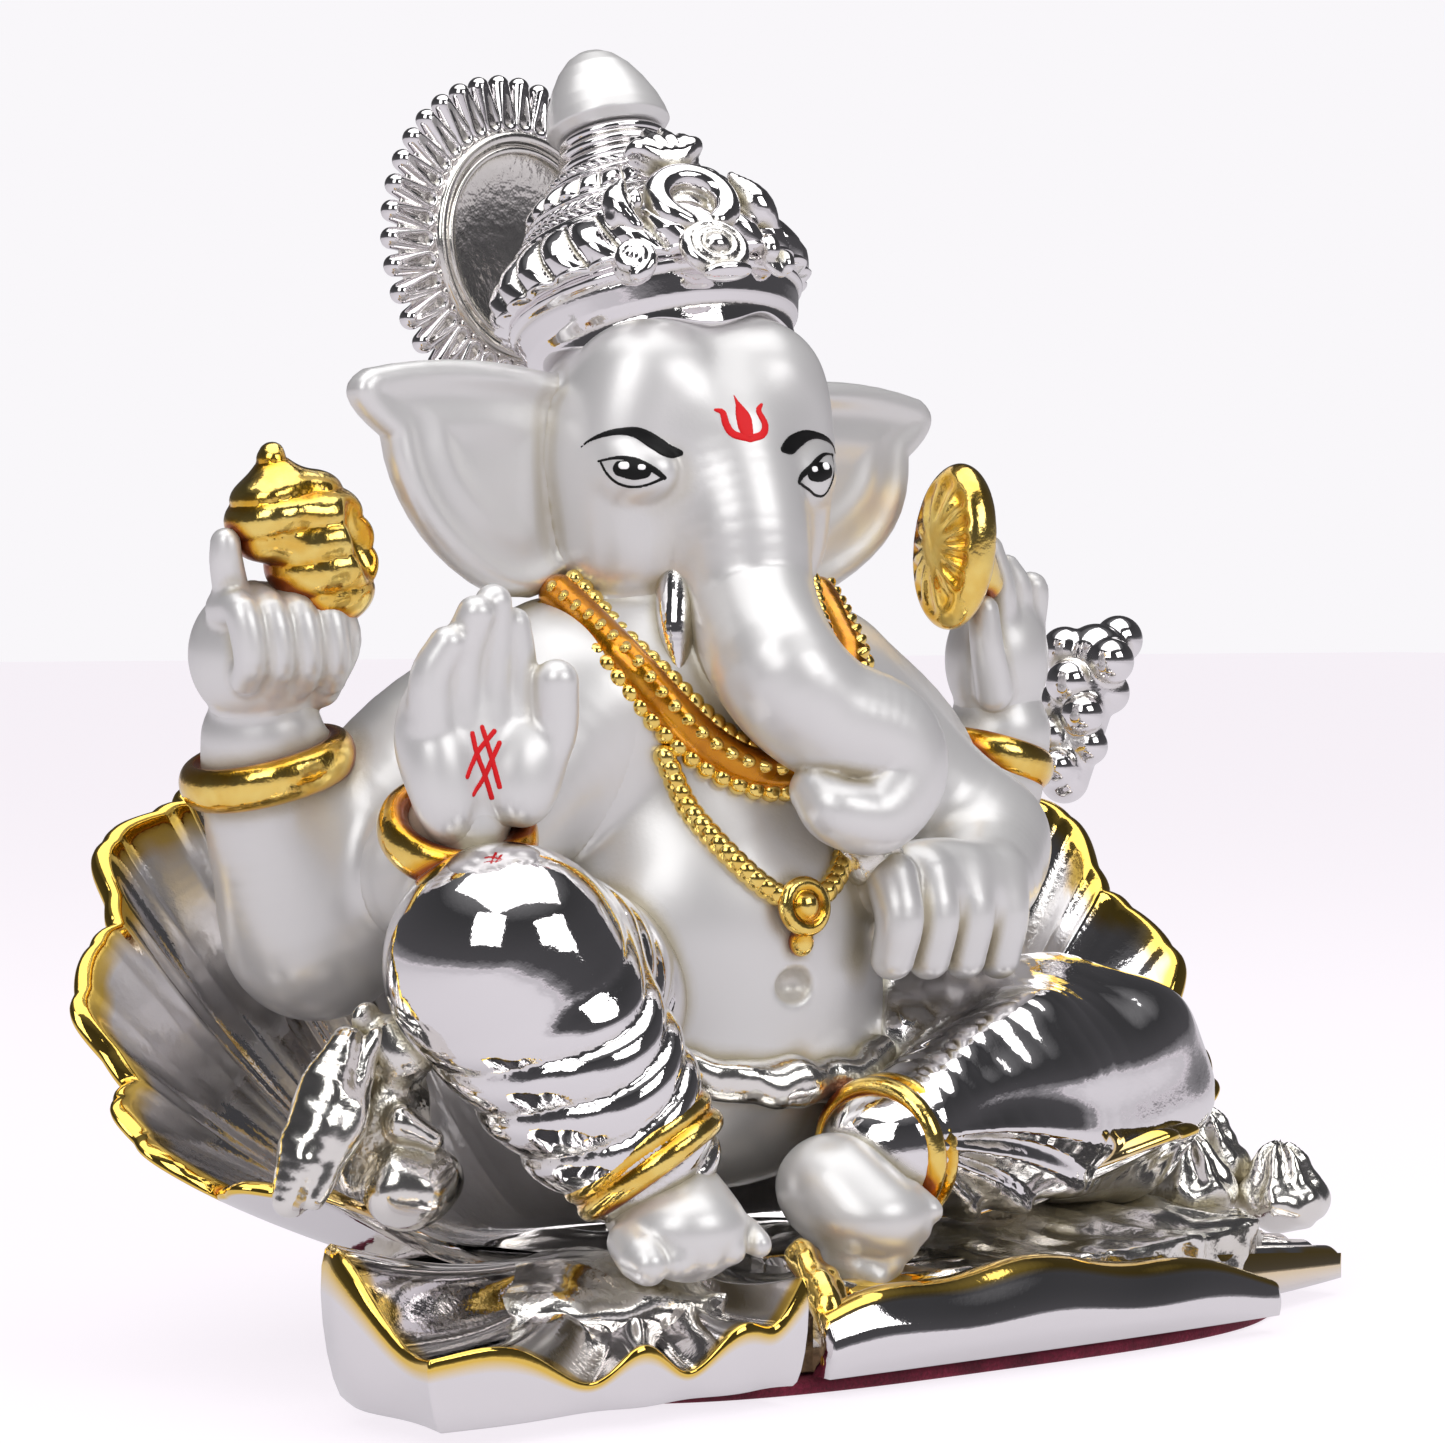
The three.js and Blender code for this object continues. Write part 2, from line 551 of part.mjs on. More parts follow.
add("hem_left", GOLD_LACQUER, [ring(off(ankleLeft, -0.8, 0, 0), shinLeft, LAP_LEG.ankle - 0.4, HEM.rod, 24, 8)]);
const sashBand = [
  onFront(-13, belly.z - 13.4, 0.4), onFront(-7, belly.z - 15, 0.8), onFront(7, belly.z - 15.4, 0.8),
  onFront(13, belly.z - 13.4, 0.4),
];
add("sash", MIRROR_SILVER, [
  blob(onFront(-1, belly.z - 15.4, 0.6), [4.6, 2.6, 2.6], 12),
  limb(sashBand, [2, 2.4, 2.4, 2], 10, 3),
]);
add("leg_right", MIRROR_SILVER, [
  limb([off(belly, -12, 0, -9), kneeRight], [LEG.thigh, LEG.knee], 18, 3),
  limb([kneeRight, off(kneeRight, 6, -5, -11), ankleRight], [LEG.knee, LEG.knee - 1, LEG.ankle], 18, 3),
]);
add("leg_left", MIRROR_SILVER, [
  limb([off(belly, 12, 0, -14), off(kneeLeft, -14, 3, 2), kneeLeft],
    [LEG.thigh - 2, LEG.thigh - 1, LAP_LEG.knee], 18, 2),
  limb([kneeLeft, off(kneeLeft, -20, -8.5, 0), ankleLeft],
    [LAP_LEG.knee, LAP_LEG.knee - 2.2, LAP_LEG.ankle], 18, 3),
]);
add("torso", SATIN_SILVER, [
  blob(belly, [BELLY.width, BELLY.depth, BELLY.height], 24),
  blob(off(belly, 0, 2, -14), [BELLY.width + 1, BELLY.depth + 1, 15], 20),
  blob(chest, [CHEST.width, CHEST.depth, CHEST.height], 22),
  limb([off(chest, 0, 2, 6), off(neck, 0, -0.5, 3)], [13, 11.5], 16, 2),
]);

// ---------------------------------------------------------------- mouse and offerings
const mouseAt = v(SHELL.centreX - 0.652 * SHELL.halfWidth, -7, SEAT.top + 13);
add("mouse", MIRROR_SILVER, [
  blob(mouseAt, [5.2, 4.6, 8], 14, [0.2, 0.1, 0]),
  blob(off(mouseAt, 0.6, -2.6, 8.6), [3.8, 4.4, 3.6], 12),
  blob(off(mouseAt, -2.6, -1, 11.6), [1.8, 1, 1.9], 8),
  blob(off(mouseAt, 3.4, -1, 11.4), [1.8, 1, 1.9], 8),
  blob(off(mouseAt, 0.4, -5, -5), [5.6, 4.4, 4.4], 12),
]);
add("mouse_leaf", MIRROR_SILVER, [
  plate(4, 8, (u, w, t) => {
    const side = (u - 0.5) * 4.4 * Math.sin(Math.PI * (0.12 + 0.86 * w)) ** 0.8;
    const up = -6.5 + 17 * w + (t - 0.5) * 2.4 + u;
    return off(mouseAt, -14 + 11 * w + side, -5 - side * 1.2 + 4 * w, up);
  }),
]);
for (let i = 0; i < 3; i++) {
  add("sweet_" + (i + 1), MIRROR_SILVER, [
    turned([[0, -4], [4, -3.2], [5.2, -0.4], [4.2, 2.2], [1.6, 4], [0, 5.2]], 14)
      .translate(62 + 5.6 * i, -9 - [0, -4, 3.6][i], SEAT.top - 1 + [0, 2.4, -1.4][i]),
  ]);
}

// ---------------------------------------------------------------- seat
// The ribbon ties the shell to the leaves in the middle of the front edge.
const ribbonX = -12;
const ribbonPath = [
  v(ribbonX + 2, -32, SEAT.top + 2), v(ribbonX + 0.6, -36.4, SEAT.top - 2), v(ribbonX, -38, castLow + 3),
  v(ribbonX - 0.4, -37.6, castLow + 1.6),
];
add("ribbon", GOLD_LACQUER, [limb(ribbonPath, [2, 2, 1.9, 1.7], 8, 3)]);
const edgeY = PAD.centreY - PAD.halfDepth;
add("leaf_front", MIRROR_SILVER, [
  plate(3, 14, (u, w, t) => {
    const swell = Math.sin(Math.PI * (0.1 + 0.88 * w)) ** 0.7;
    const x = ribbonX + 3 + w * LEAF.length;
    const high = castLow + 0.6 + (LEAF.height - 3.2) * swell * (1 - 0.35 * w);
    const thick = LEAF.thickness * t * (0.35 + 0.65 * swell);
    const roll = 2 * Math.sin(Math.PI * u) * swell * (1 - t);
    return v(x, edgeY - 1.6 + 1.6 * w ** 3 + thick - roll, castLow + u * (high - castLow));
  }),
]);
add("leaf_far", MIRROR_SILVER, [
  plate(12, 6, (w, u, t) => {
    const x = ribbonX + 6 + w * (78 - 4 * u);
    const y = edgeY + 4.5 + u * 17 + 10 * w ** 2.4 * (1 - u) + w ** 3 * 2;
    const high = SEAT.top - 1.5 - 1.5 * (1 - u) - 4.6 * w ** 2 + 0.7 * Math.sin(Math.PI * 3 * u);
    return v(x, y, t > 0.5 ? high : castLow);
  }),
]);
// The front shell fans out from under the right foot to the front left edge.
const fanHub = v(-22, -17, SEAT.top + 1);
add("shell_front", MIRROR_SILVER, [
  plate(4, 26, (w, u, t) => {
    const a = THREE.MathUtils.degToRad(188 + 92 * u);
    const wave = Math.cos(a * 2 * Math.PI * (FRONT_SHELL.flutes / 10));
    const square = 1 / Math.max(Math.abs(Math.cos(a)), Math.abs(Math.sin(a)) * 1.55);
    const r = FRONT_SHELL.reach * square * (0.12 + 0.88 * w) * (1 + 0.012 * wave * w);
    const rim = castLow + 1.4 + 13 * (1 - u) ** 4 + 7 * u ** 6 + FRONT_SHELL.rimLift * wave;
    const flute = FRONT_SHELL.fluteDepth * wave * w;
    const dish = fanHub.z + (rim - fanHub.z) * w ** 0.9 - 2 * Math.sin(Math.PI * w) + flute;
    const inward = 1 - 0.12 * (1 - t) * w;
    return v(fanHub.x + r * Math.cos(a) * inward, fanHub.y + r * Math.sin(a) * inward, t > 0.5 ? dish : castLow);
  }),
]);
// The seat block carries the figure and the shells.
add("seat_block", MIRROR_SILVER, [slab(SEAT.inset, castLow, SEAT.top - 3)]);
// The rear shell is a fluted dish that stands up round the figure's back.
add("shell_rear", MIRROR_SILVER, [
  plate(SHELL.flutes * 2, 5, (u, w, t) => {
    const a = THREE.MathUtils.degToRad(-132 + 264 * u);
    const turnedBack = THREE.MathUtils.smoothstep(Math.abs(a), 0.7, 2.15);
    const rim = THREE.MathUtils.lerp(SHELL.backHeight, SHELL.tipHeight, turnedBack);
    const wave = Math.cos(SHELL.flutes * a);
    const r = 0.34 + 0.66 * w;
    const bowl = SHELL.hubHeight + (rim - SHELL.hubHeight) * w ** 1.5;
    const lift = SHELL.fluteDepth * wave * w;
    const wall = (t - 0.5) * SHELL.wall;
    const steep = 0.3 + 0.6 * w;
    const x = SHELL.centreX + Math.sin(a) * (SHELL.halfWidth * r + (lift - wall * steep));
    const y = 2 + Math.cos(a) * (SHELL.halfDepth * r + (lift - wall * steep));
    return v(x, y, bowl + wall * (1 - 0.5 * w) + lift * 0.5).applyAxisAngle(Z_AXIS, SHELL.turn);
  }),
]);
add("closing_board", FIBRE_BOARD, [slab(BOARD.inset, boardLow, boardHigh)]);
add("velvet_pad", MAROON_VELVET, [slab(0, 0, PAD.thickness)]);

// The origin lies on the resting face, below the middle of the idol's box.
const box = new THREE.Box3().setFromObject(idol);
const middle = box.getCenter(new THREE.Vector3());
idol.position.set(-middle.x, -middle.y, -box.min.z);

export default idol;
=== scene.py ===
import logging
import math
from dataclasses import dataclass, field
from enum import Enum
from functools import lru_cache
from typing import Callable, Sequence

import bpy
import numpy as np
from mathutils import Matrix, Vector


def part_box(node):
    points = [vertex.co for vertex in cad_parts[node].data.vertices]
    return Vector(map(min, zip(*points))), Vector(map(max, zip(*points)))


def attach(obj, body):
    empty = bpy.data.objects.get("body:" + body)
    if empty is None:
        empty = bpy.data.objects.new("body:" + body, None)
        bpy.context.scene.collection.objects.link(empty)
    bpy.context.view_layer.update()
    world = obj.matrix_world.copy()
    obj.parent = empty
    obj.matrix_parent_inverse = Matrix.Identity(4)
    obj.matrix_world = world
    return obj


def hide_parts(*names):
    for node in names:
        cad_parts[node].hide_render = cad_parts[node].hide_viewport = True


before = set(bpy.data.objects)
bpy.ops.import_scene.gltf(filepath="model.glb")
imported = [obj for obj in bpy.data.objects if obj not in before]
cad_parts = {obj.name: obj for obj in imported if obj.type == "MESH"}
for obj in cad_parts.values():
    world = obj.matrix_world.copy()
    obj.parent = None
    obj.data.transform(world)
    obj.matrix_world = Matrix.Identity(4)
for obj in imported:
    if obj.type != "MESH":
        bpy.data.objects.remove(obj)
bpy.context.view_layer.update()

log = logging.getLogger("idol")
Array = np.ndarray
Point = tuple[float, float, float]
Box = tuple[Array, Array]
Tree = bpy.types.NodeTree
Socket = bpy.types.NodeSocket
Material = bpy.types.Material
Tint = Socket | tuple[float, float, float, float]
MM = 0.001
FAR = 1e3
PAD_OFFSET = (11.5, -4.0)  # the pad's middle, seen from the figure's own axis


def node_box(node: str) -> Box:
    """The lowest and highest corners of a CAD node in scene millimetres.

    Args:
        node: the CAD node's name.
    Returns:
        Two arrays of three numbers.
    """
    low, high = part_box(node)
    return np.array(low) / MM, np.array(high) / MM


def figure_axis() -> Array:
    """Where the figure's own upright axis meets the floor, in scene millimetres."""
    low, high = node_box("velvet_pad")
    middle = (low + high) / 2
    return np.array([middle[0] - PAD_OFFSET[0], middle[1] - PAD_OFFSET[1], 0.0])


AXIS = figure_axis()


def middle_of(node: str) -> Array:
    """The middle of a CAD node's box, in the figure's own frame."""
    low, high = node_box(node)
    return (low + high) / 2 - AXIS


def unit(v: Array) -> Array:
    """The vectors of v at length one."""
    return v / np.maximum(np.linalg.norm(v, axis=-1, keepdims=True), 1e-9)


def turn_about(axis: str, degrees: float) -> Array:
    """A 3x3 turn about a named axis."""
    return np.array(Matrix.Rotation(math.radians(degrees), 3, axis))


# ---- distance shapes
class Shape:
    """A solid given by its signed distance in millimetres: below zero inside."""

    def at(self, p: Array) -> Array:
        """Distance at each point."""
        raise NotImplementedError

    def reach(self) -> Box:
        """A box that holds the solid."""
        raise NotImplementedError

    def near(self, low: Array, high: Array) -> "Shape | None":
        """The part of the shape that matters inside a box, or None.

        Args:
            low: the box's lowest corner.
            high: its highest corner.
        Returns:
            This shape, a smaller one, or None where it is out of reach.
        """
        a, b = self.reach()
        return self if bool(np.all(a < high) and np.all(b > low)) else None


def smooth_min(a: Array, b: Array, soft: float) -> Array:
    """The lesser of two distances, with a rounded join of width soft."""
    if soft <= 0:
        return np.minimum(a, b)
    h = np.maximum(soft - np.abs(a - b), 0.0) / soft
    return np.minimum(a, b) - h * h * soft * 0.25


@dataclass
class Ball(Shape):
    """An egg with three radii, turned by degrees about x, y and z."""

    centre: Sequence[float]
    radii: Sequence[float]
    turn: Sequence[float] = (0, 0, 0)

    def __post_init__(self) -> None:
        """Works out the turn once."""
        x, y, z = self.turn
        self.frame = turn_about("Z", z) @ turn_about("Y", y) @ turn_about("X", x)

    def at(self, p: Array) -> Array:
        """Distance at each point."""
        q = (p - np.asarray(self.centre)) @ self.frame
        r = np.asarray(self.radii, float)
        k0 = np.linalg.norm(q / r, axis=1)
        k1 = np.linalg.norm(q / (r * r), axis=1)
        return k0 * (k0 - 1) / np.maximum(k1, 1e-6)

    def reach(self) -> Box:
        """A box that holds the egg."""
        c = np.asarray(self.centre, float)
        size = np.abs(self.frame) @ np.asarray(self.radii, float)
        return c - size, c + size


def curve_through(points: Sequence[Sequence[float]], steps: int) -> Array:
    """Points on a smooth curve through the given ones.

    Args:
        points: rows of any width.
        steps: spans between two given points.
    Returns:
        The curve's points.
    """
    p = np.asarray(points, float)
    if len(p) < 3 or steps < 2:
        return p
    ends = np.vstack([2 * p[0] - p[1], p, 2 * p[-1] - p[-2]])
    out = []
    for i in range(len(p) - 1):
        a, b, c, d = ends[i : i + 4]
        for k in range(steps):
            t = k / steps
            out.append(0.5 * (2 * b + (c - a) * t + (2 * a - 5 * b + 4 * c - d) * t**2
                              + (3 * b - a - 3 * c + d) * t**3))
    out.append(p[-1])
    return np.array(out)


@dataclass
class Rod(Shape):
    """A round rod on a smooth path through points, with a radius at each."""

    points: Sequence[Sequence[float]]
    radii: Sequence[float]
    steps: int = 7

    def __post_init__(self) -> None:
        """Lays the smooth path out once."""
        rows = [[*p, r] for p, r in zip(self.points, self.radii)]
        self.path = curve_through(rows, self.steps)

    def at(self, p: Array) -> Array:
        """Distance at each point."""
        best = np.full(len(p), FAR)
        for a, b in zip(self.path[:-1], self.path[1:]):
            ab = b[:3] - a[:3]
            t = np.clip((p - a[:3]) @ ab / max(ab @ ab, 1e-9), 0, 1)
            d = np.linalg.norm(p - a[:3] - t[:, None] * ab, axis=1) - (a[3] + t * (b[3] - a[3]))
            best = np.minimum(best, d)
        return best

    def reach(self) -> Box:
        """A box that holds the rod."""
        r = self.path[:, 3:].max()
        return self.path[:, :3].min(0) - r, self.path[:, :3].max(0) + r

    def near(self, low: Array, high: Array) -> "Shape | None":
        """The rod's spans that matter inside a box, or None."""
        r = self.path[:, 3].max()
        lows = np.minimum(self.path[:-1, :3], self.path[1:, :3]) - r
        highs = np.maximum(self.path[:-1, :3], self.path[1:, :3]) + r
        keep = np.flatnonzero(np.all(lows < high, axis=1) & np.all(highs > low, axis=1))
        if len(keep) == 0:
            return None
        part = object.__new__(Rod)
        part.path = self.path[keep[0] : keep[-1] + 2]
        return part


@dataclass
class Hoop(Shape):
    """A round bar bent to a ring, flattened along its axis by squeeze."""

    centre: Sequence[float]
    axis: Sequence[float]
    radius: float
    rod: float
    squeeze: float = 1.0

    def at(self, p: Array) -> Array:
        """Distance at each point."""
        n = unit(np.asarray(self.axis, float))
        q = p - np.asarray(self.centre)
        up = q @ n
        out = np.linalg.norm(q - up[:, None] * n, axis=1) - self.radius
        return np.hypot(out, up * self.squeeze) - self.rod

    def reach(self) -> Box:
        """A box that holds the ring."""
        c = np.asarray(self.centre, float)
        r = self.radius + self.rod / min(self.squeeze, 1)
        return c - r, c + r


@dataclass
class Fan(Shape):
    """A flat plate from an outline in x and z, with a thickness in y that may swell.

    bow(x, z, inside) gives the plate's middle y and half thickness.
    """

    outline: Sequence[Sequence[float]]
    bow: Callable[[Array, Array, Array], tuple[Array, Array]]
    deep: tuple[float, float]
    round_edge: float = 1.0

    def __post_init__(self) -> None:
        """Keeps the outline as an array."""
        self.rim = np.asarray(self.outline, float)

    def edge(self, x: Array, z: Array) -> Array:
        """Distance to the outline in the plate's own plane, below zero inside."""
        q = np.stack([x, z], axis=1)
        best = np.full(len(q), FAR)
        inside = np.zeros(len(q), bool)
        for a, b in zip(self.rim, np.roll(self.rim, -1, axis=0)):
            ab = b - a
            t = np.clip((q - a) @ ab / max(ab @ ab, 1e-9), 0, 1)
            best = np.minimum(best, np.linalg.norm(q - a - t[:, None] * ab, axis=1))
            rises = (a[1] > z) != (b[1] > z)
            inside ^= rises & (x < a[0] + (z - a[1]) * ab[0] / (ab[1] if ab[1] else 1e-9))
        return np.where(inside, -best, best)

    def at(self, p: Array) -> Array:
        """Distance at each point."""
        flat = self.edge(p[:, 0], p[:, 2])
        middle, half = self.bow(p[:, 0], p[:, 2], -flat)
        r = np.minimum(self.round_edge, half)
        a = flat + r
        b = np.abs(p[:, 1] - middle) - half + r
        return np.hypot(np.maximum(a, 0), np.maximum(b, 0)) + np.minimum(np.maximum(a, b), 0) - r

    def reach(self) -> Box:
        """A box that holds the plate."""
        low, high = self.rim.min(0), self.rim.max(0)
        return (np.array([low[0], self.deep[0], low[1]]) - 0.5,
                np.array([high[0], self.deep[1], high[1]]) + 0.5)


@dataclass
class Blend(Shape):
    """Shapes joined with rounded joins."""

    parts: list[Shape]
    soft: float = 1.0

    def at(self, p: Array) -> Array:
        """Distance at each point."""
        d = self.parts[0].at(p)
        for part in self.parts[1:]:
            d = smooth_min(d, part.at(p), self.soft)
        return d

    def reach(self) -> Box:
        """A box that holds every part."""
        boxes = [part.reach() for part in self.parts]
        return (np.min([b[0] for b in boxes], axis=0) - self.soft / 4,
                np.max([b[1] for b in boxes], axis=0) + self.soft / 4)

    def near(self, low: Array, high: Array) -> "Shape | None":
        """The parts that matter inside a box, or None."""
        kept = [q for q in (part.near(low - self.soft, high + self.soft) for part in self.parts) if q]
        return Blend(kept, self.soft) if kept else None


@dataclass
class Carved(Shape):
    """A shape with others cut out of it."""

    base: Shape
    cuts: list[Shape]
    soft: float = 0.6

    def at(self, p: Array) -> Array:
        """Distance at each point."""
        d = -self.base.at(p)
        for cut in self.cuts:
            d = smooth_min(d, cut.at(p), self.soft)
        return -d

    def reach(self) -> Box:
        """A box that holds the base."""
        return self.base.reach()

    def near(self, low: Array, high: Array) -> "Shape | None":
        """The base and cuts that matter inside a box, or None."""
        base = self.base.near(low, high)
        if base is None:
            return None
        cuts = [q for q in (c.near(low - self.soft, high + self.soft) for c in self.cuts) if q]
        return Carved(base, cuts, self.soft) if cuts else base


@dataclass
class Wrought(Shape):
    """A shape whose skin is moved outwards by relief(points), up to most millimetres."""

    base: Shape
    relief: Callable[[Array], Array]
    most: float = 1.0

    def at(self, p: Array) -> Array:
        """Distance at each point."""
        return self.base.at(p) - self.relief(p)

    def reach(self) -> Box:
        """A box that holds the base and its relief."""
        a, b = self.base.reach()
        return a - self.most, b + self.most

    def near(self, low: Array, high: Array) -> "Shape | None":
        """The base that matters inside a box, or None."""
        base = self.base.near(low - self.most, high + self.most)
        return Wrought(base, self.relief, self.most) if base else None


@dataclass
class Placed(Shape):
    """A shape drawn in its own frame: turn, then move."""

    base: Shape
    turn: Array
    move: Array

    def own(self, p: Array) -> Array:
        """Points in the shape's own frame."""
        return (p - self.move) @ self.turn

    def at(self, p: Array) -> Array:
        """Distance at each point."""
        return self.base.at(self.own(p))

    def reach(self) -> Box:
        """A box that holds the placed shape."""
        a, b = self.base.reach()
        c = self.turn @ ((a + b) / 2) + self.move
        size = np.abs(self.turn) @ ((b - a) / 2)
        return c - size, c + size

    def near(self, low: Array, high: Array) -> "Shape | None":
        """The placed parts that matter inside a box, or None."""
        c = self.own(((low + high) / 2)[None])[0]
        size = np.abs(self.turn.T) @ ((high - low) / 2)
        base = self.base.near(c - size, c + size)
        return Placed(base, self.turn, self.move) if base else None


@dataclass
class SkinPart(Shape):
    """One casting of a skin that runs unbroken over several.

    Where a neighbour lies nearer, this casting's surface dips under it, so only the common skin shows.
    """

    groups: dict[str, Shape]
    softs: dict[str, float]
    name: str

    def at(self, p: Array) -> Array:
        """Distance at each point."""
        skin = np.full(len(p), FAR)
        own = np.full(len(p), FAR)
        others = np.full(len(p), FAR)
        for name, group in self.groups.items():
            d = group.at(p)
            skin = smooth_min(skin, d, self.softs[name])
            if name == self.name:
                own = d
            else:
                others = np.minimum(others, d)
        under = np.maximum(own - others, 0)
        return skin + 0.7 * under * under / (under + 0.8)

    def reach(self) -> Box:
        """A box that holds the casting."""
        a, b = self.groups[self.name].reach()
        return a - 1.5, b + 1.5

    def near(self, low: Array, high: Array) -> "Shape | None":
        """The groups that matter inside a box, or None."""
        if super().near(low, high) is None:
            return None
        kept = {n: q for n, q in ((n, g.near(low - 2.5, high + 2.5)) for n, g in self.groups.items()) if q}
        return SkinPart(kept, self.softs, self.name) if kept else None


BIN = 7.0  # side of the cubes that points are sorted into, in mm


def distances(shape: Shape, p: Array, margin: float = 3.0) -> Array:
    """Distances at many points, each cube of points meeting only the shapes near it.

    Args:
        shape: what is measured.
        p: rows of three.
        margin: distances above this may come out larger than they are.
    Returns:
        One distance for each point.
    """
    out = np.full(len(p), FAR)
    bins = shape.__dict__.setdefault("bins", {})
    cell = np.floor(p / BIN).astype(np.int64)
    key = ((cell[:, 0] + 512) * 1024 + cell[:, 1] + 512) * 1024 + cell[:, 2] + 512
    order = np.argsort(key, kind="stable")
    cuts = np.flatnonzero(np.diff(key[order])) + 1
    for rows in np.split(order, cuts):
        place = (int(key[rows[0]]), margin)
        if place not in bins:
            corner = cell[rows[0]] * BIN
            bins[place] = shape.near(corner - margin, corner + BIN + margin)
        if bins[place] is not None:
            out[rows] = bins[place].at(p[rows])
    return out


@dataclass
class Skin:
    """A mesh in millimetres with its normals and its painted marks."""

    points: Array
    quads: Array
    tris: Array = field(default_factory=lambda: np.zeros((0, 3), int))
    normals: Array | None = None
    marks: dict[str, Array] = field(default_factory=dict)

    def moved(self, turn: Array, move: Array) -> "Skin":
        """The same skin, turned and then moved."""
        normals = None if self.normals is None else self.normals @ turn.T
        return Skin(self.points @ turn.T + move, self.quads, self.tris, normals, self.marks)

    @staticmethod
    def joined(skins: Sequence["Skin"]) -> "Skin":
        """Several skins as one mesh."""
        quads, tris, start = [], [], 0
        for s in skins:
            quads.append(s.quads + start)
            tris.append(s.tris + start)
            start += len(s.points)
        whole = all(s.normals is not None for s in skins)
        names = set.intersection(*[set(s.marks) for s in skins])
        return Skin(np.vstack([s.points for s in skins]), np.vstack(quads), np.vstack(tris),
                    np.vstack([s.normals for s in skins]) if whole else None,
                    {n: np.concatenate([s.marks[n] for s in skins]) for n in names})


def gradient(shape: Shape, p: Array, step: float = 0.05) -> Array:
    """The direction in which the distance grows, at each point."""
    corners = np.array([[1, -1, -1], [-1, -1, 1], [-1, 1, -1], [1, 1, 1]], float)
    g = np.zeros_like(p)
    for c in corners:
        g += c * distances(shape, p + c * step)[:, None]
    return g / (4 * step)


class Neighbours:
    """Which points of a quad mesh lie next to each other."""

    def __init__(self, quads: Array, count: int) -> None:
        """Lists the sides of every face.

        Args:
            quads: the faces.
            count: how many points the mesh has.
        """
        self.links = np.vstack([quads[:, [k, (k + 1) % 4]] for k in range(4)])
        self.degree = np.maximum(np.bincount(self.links[:, 0], minlength=count), 1)[:, None]

    def mean(self, rows: Array) -> Array:
        """The average of rows over each point's neighbours."""
        start, end = self.links.T
        return np.stack([np.bincount(start, rows[end, k], len(rows)) for k in range(3)], 1) / self.degree


BLOCK = 4  # grid points along one side of a block that is first measured at its middle
GRID_MARGIN = 4.0  # how far from a shape its distance is exact on the grid, in mm


def measured(shape: Shape, low: Array, blocks: Array, step: float) -> Array:
    """Distances on a grid, exact in the blocks near the surface and rough elsewhere.

    Args:
        shape: the solid.
        low: the grid's lowest corner.
        blocks: how many blocks it has along each axis.
        step: its spacing in mm.
    Returns:
        One distance for each grid point.
    """
    centres = [low[k] + (np.arange(blocks[k]) + 0.5) * BLOCK * step - 0.5 * step for k in range(3)]
    grid = np.stack(np.meshgrid(*centres, indexing="ij"), -1).reshape(-1, 3)
    rough = distances(shape, grid, GRID_MARGIN)
    half_diagonal = BLOCK * step * 0.87 + step
    live = np.abs(rough) < half_diagonal * 1.35
    values = rough.reshape(blocks)
    for axis in range(3):
        values = np.repeat(values, BLOCK, axis)
    inner = np.stack(np.meshgrid(*[np.arange(BLOCK)] * 3, indexing="ij"), -1).reshape(-1, 3)
    corner = np.stack(np.unravel_index(np.flatnonzero(live), blocks), -1) * BLOCK
    cells = (corner[:, None, :] + inner[None]).reshape(-1, 3)
    values[tuple(cells.T)] = distances(shape, low + cells * step, GRID_MARGIN)
    return values


def netted(values: Array) -> tuple[Array, Array]:
    """The net of quads along the surface where a grid of distances changes sign.

    Args:
        values: one distance for each grid point.
    Returns:
        The net's points, in grid steps from its lowest corner, and its quads.
    """
    below = values < 0
    cells = np.array(values.shape) - 1
    total = int(np.prod(cells))
    stride = np.array([cells[1] * cells[2], cells[2], 1])
    sums, hits, faces = np.zeros((total, 3)), np.zeros(total), []
    for axis in range(3):
        u, w = (axis + 1) % 3, (axis + 2) % 3
        near, far = [slice(1, -1)] * 3, [slice(1, -1)] * 3
        near[axis], far[axis] = slice(0, -1), slice(1, None)
        first = np.ones(3, int)
        first[axis] = 0
        at = np.argwhere(below[tuple(near)] != below[tuple(far)]) + first
        after = at.copy()
        after[:, axis] += 1
        here, there = values[tuple(at.T)], values[tuple(after.T)]
        spot = at.astype(float)
        spot[:, axis] += here / (here - there)
        ring = []
        for du, dw in ((-1, -1), (0, -1), (0, 0), (-1, 0)):
            cell = at.copy()
            cell[:, u] += du
            cell[:, w] += dw
            ids = cell @ stride
            ring.append(ids)
            for k in range(3):
                sums[:, k] += np.bincount(ids, spot[:, k], total)
            hits += np.bincount(ids, minlength=total)
        quad = np.stack(ring, 1)
        quad[here > 0] = quad[here > 0][:, ::-1]
        faces.append(quad)
    used = np.flatnonzero(hits)
    number = np.full(total, -1)
    number[used] = np.arange(len(used))
    return sums[used] / hits[used, None], number[np.vstack(faces)]


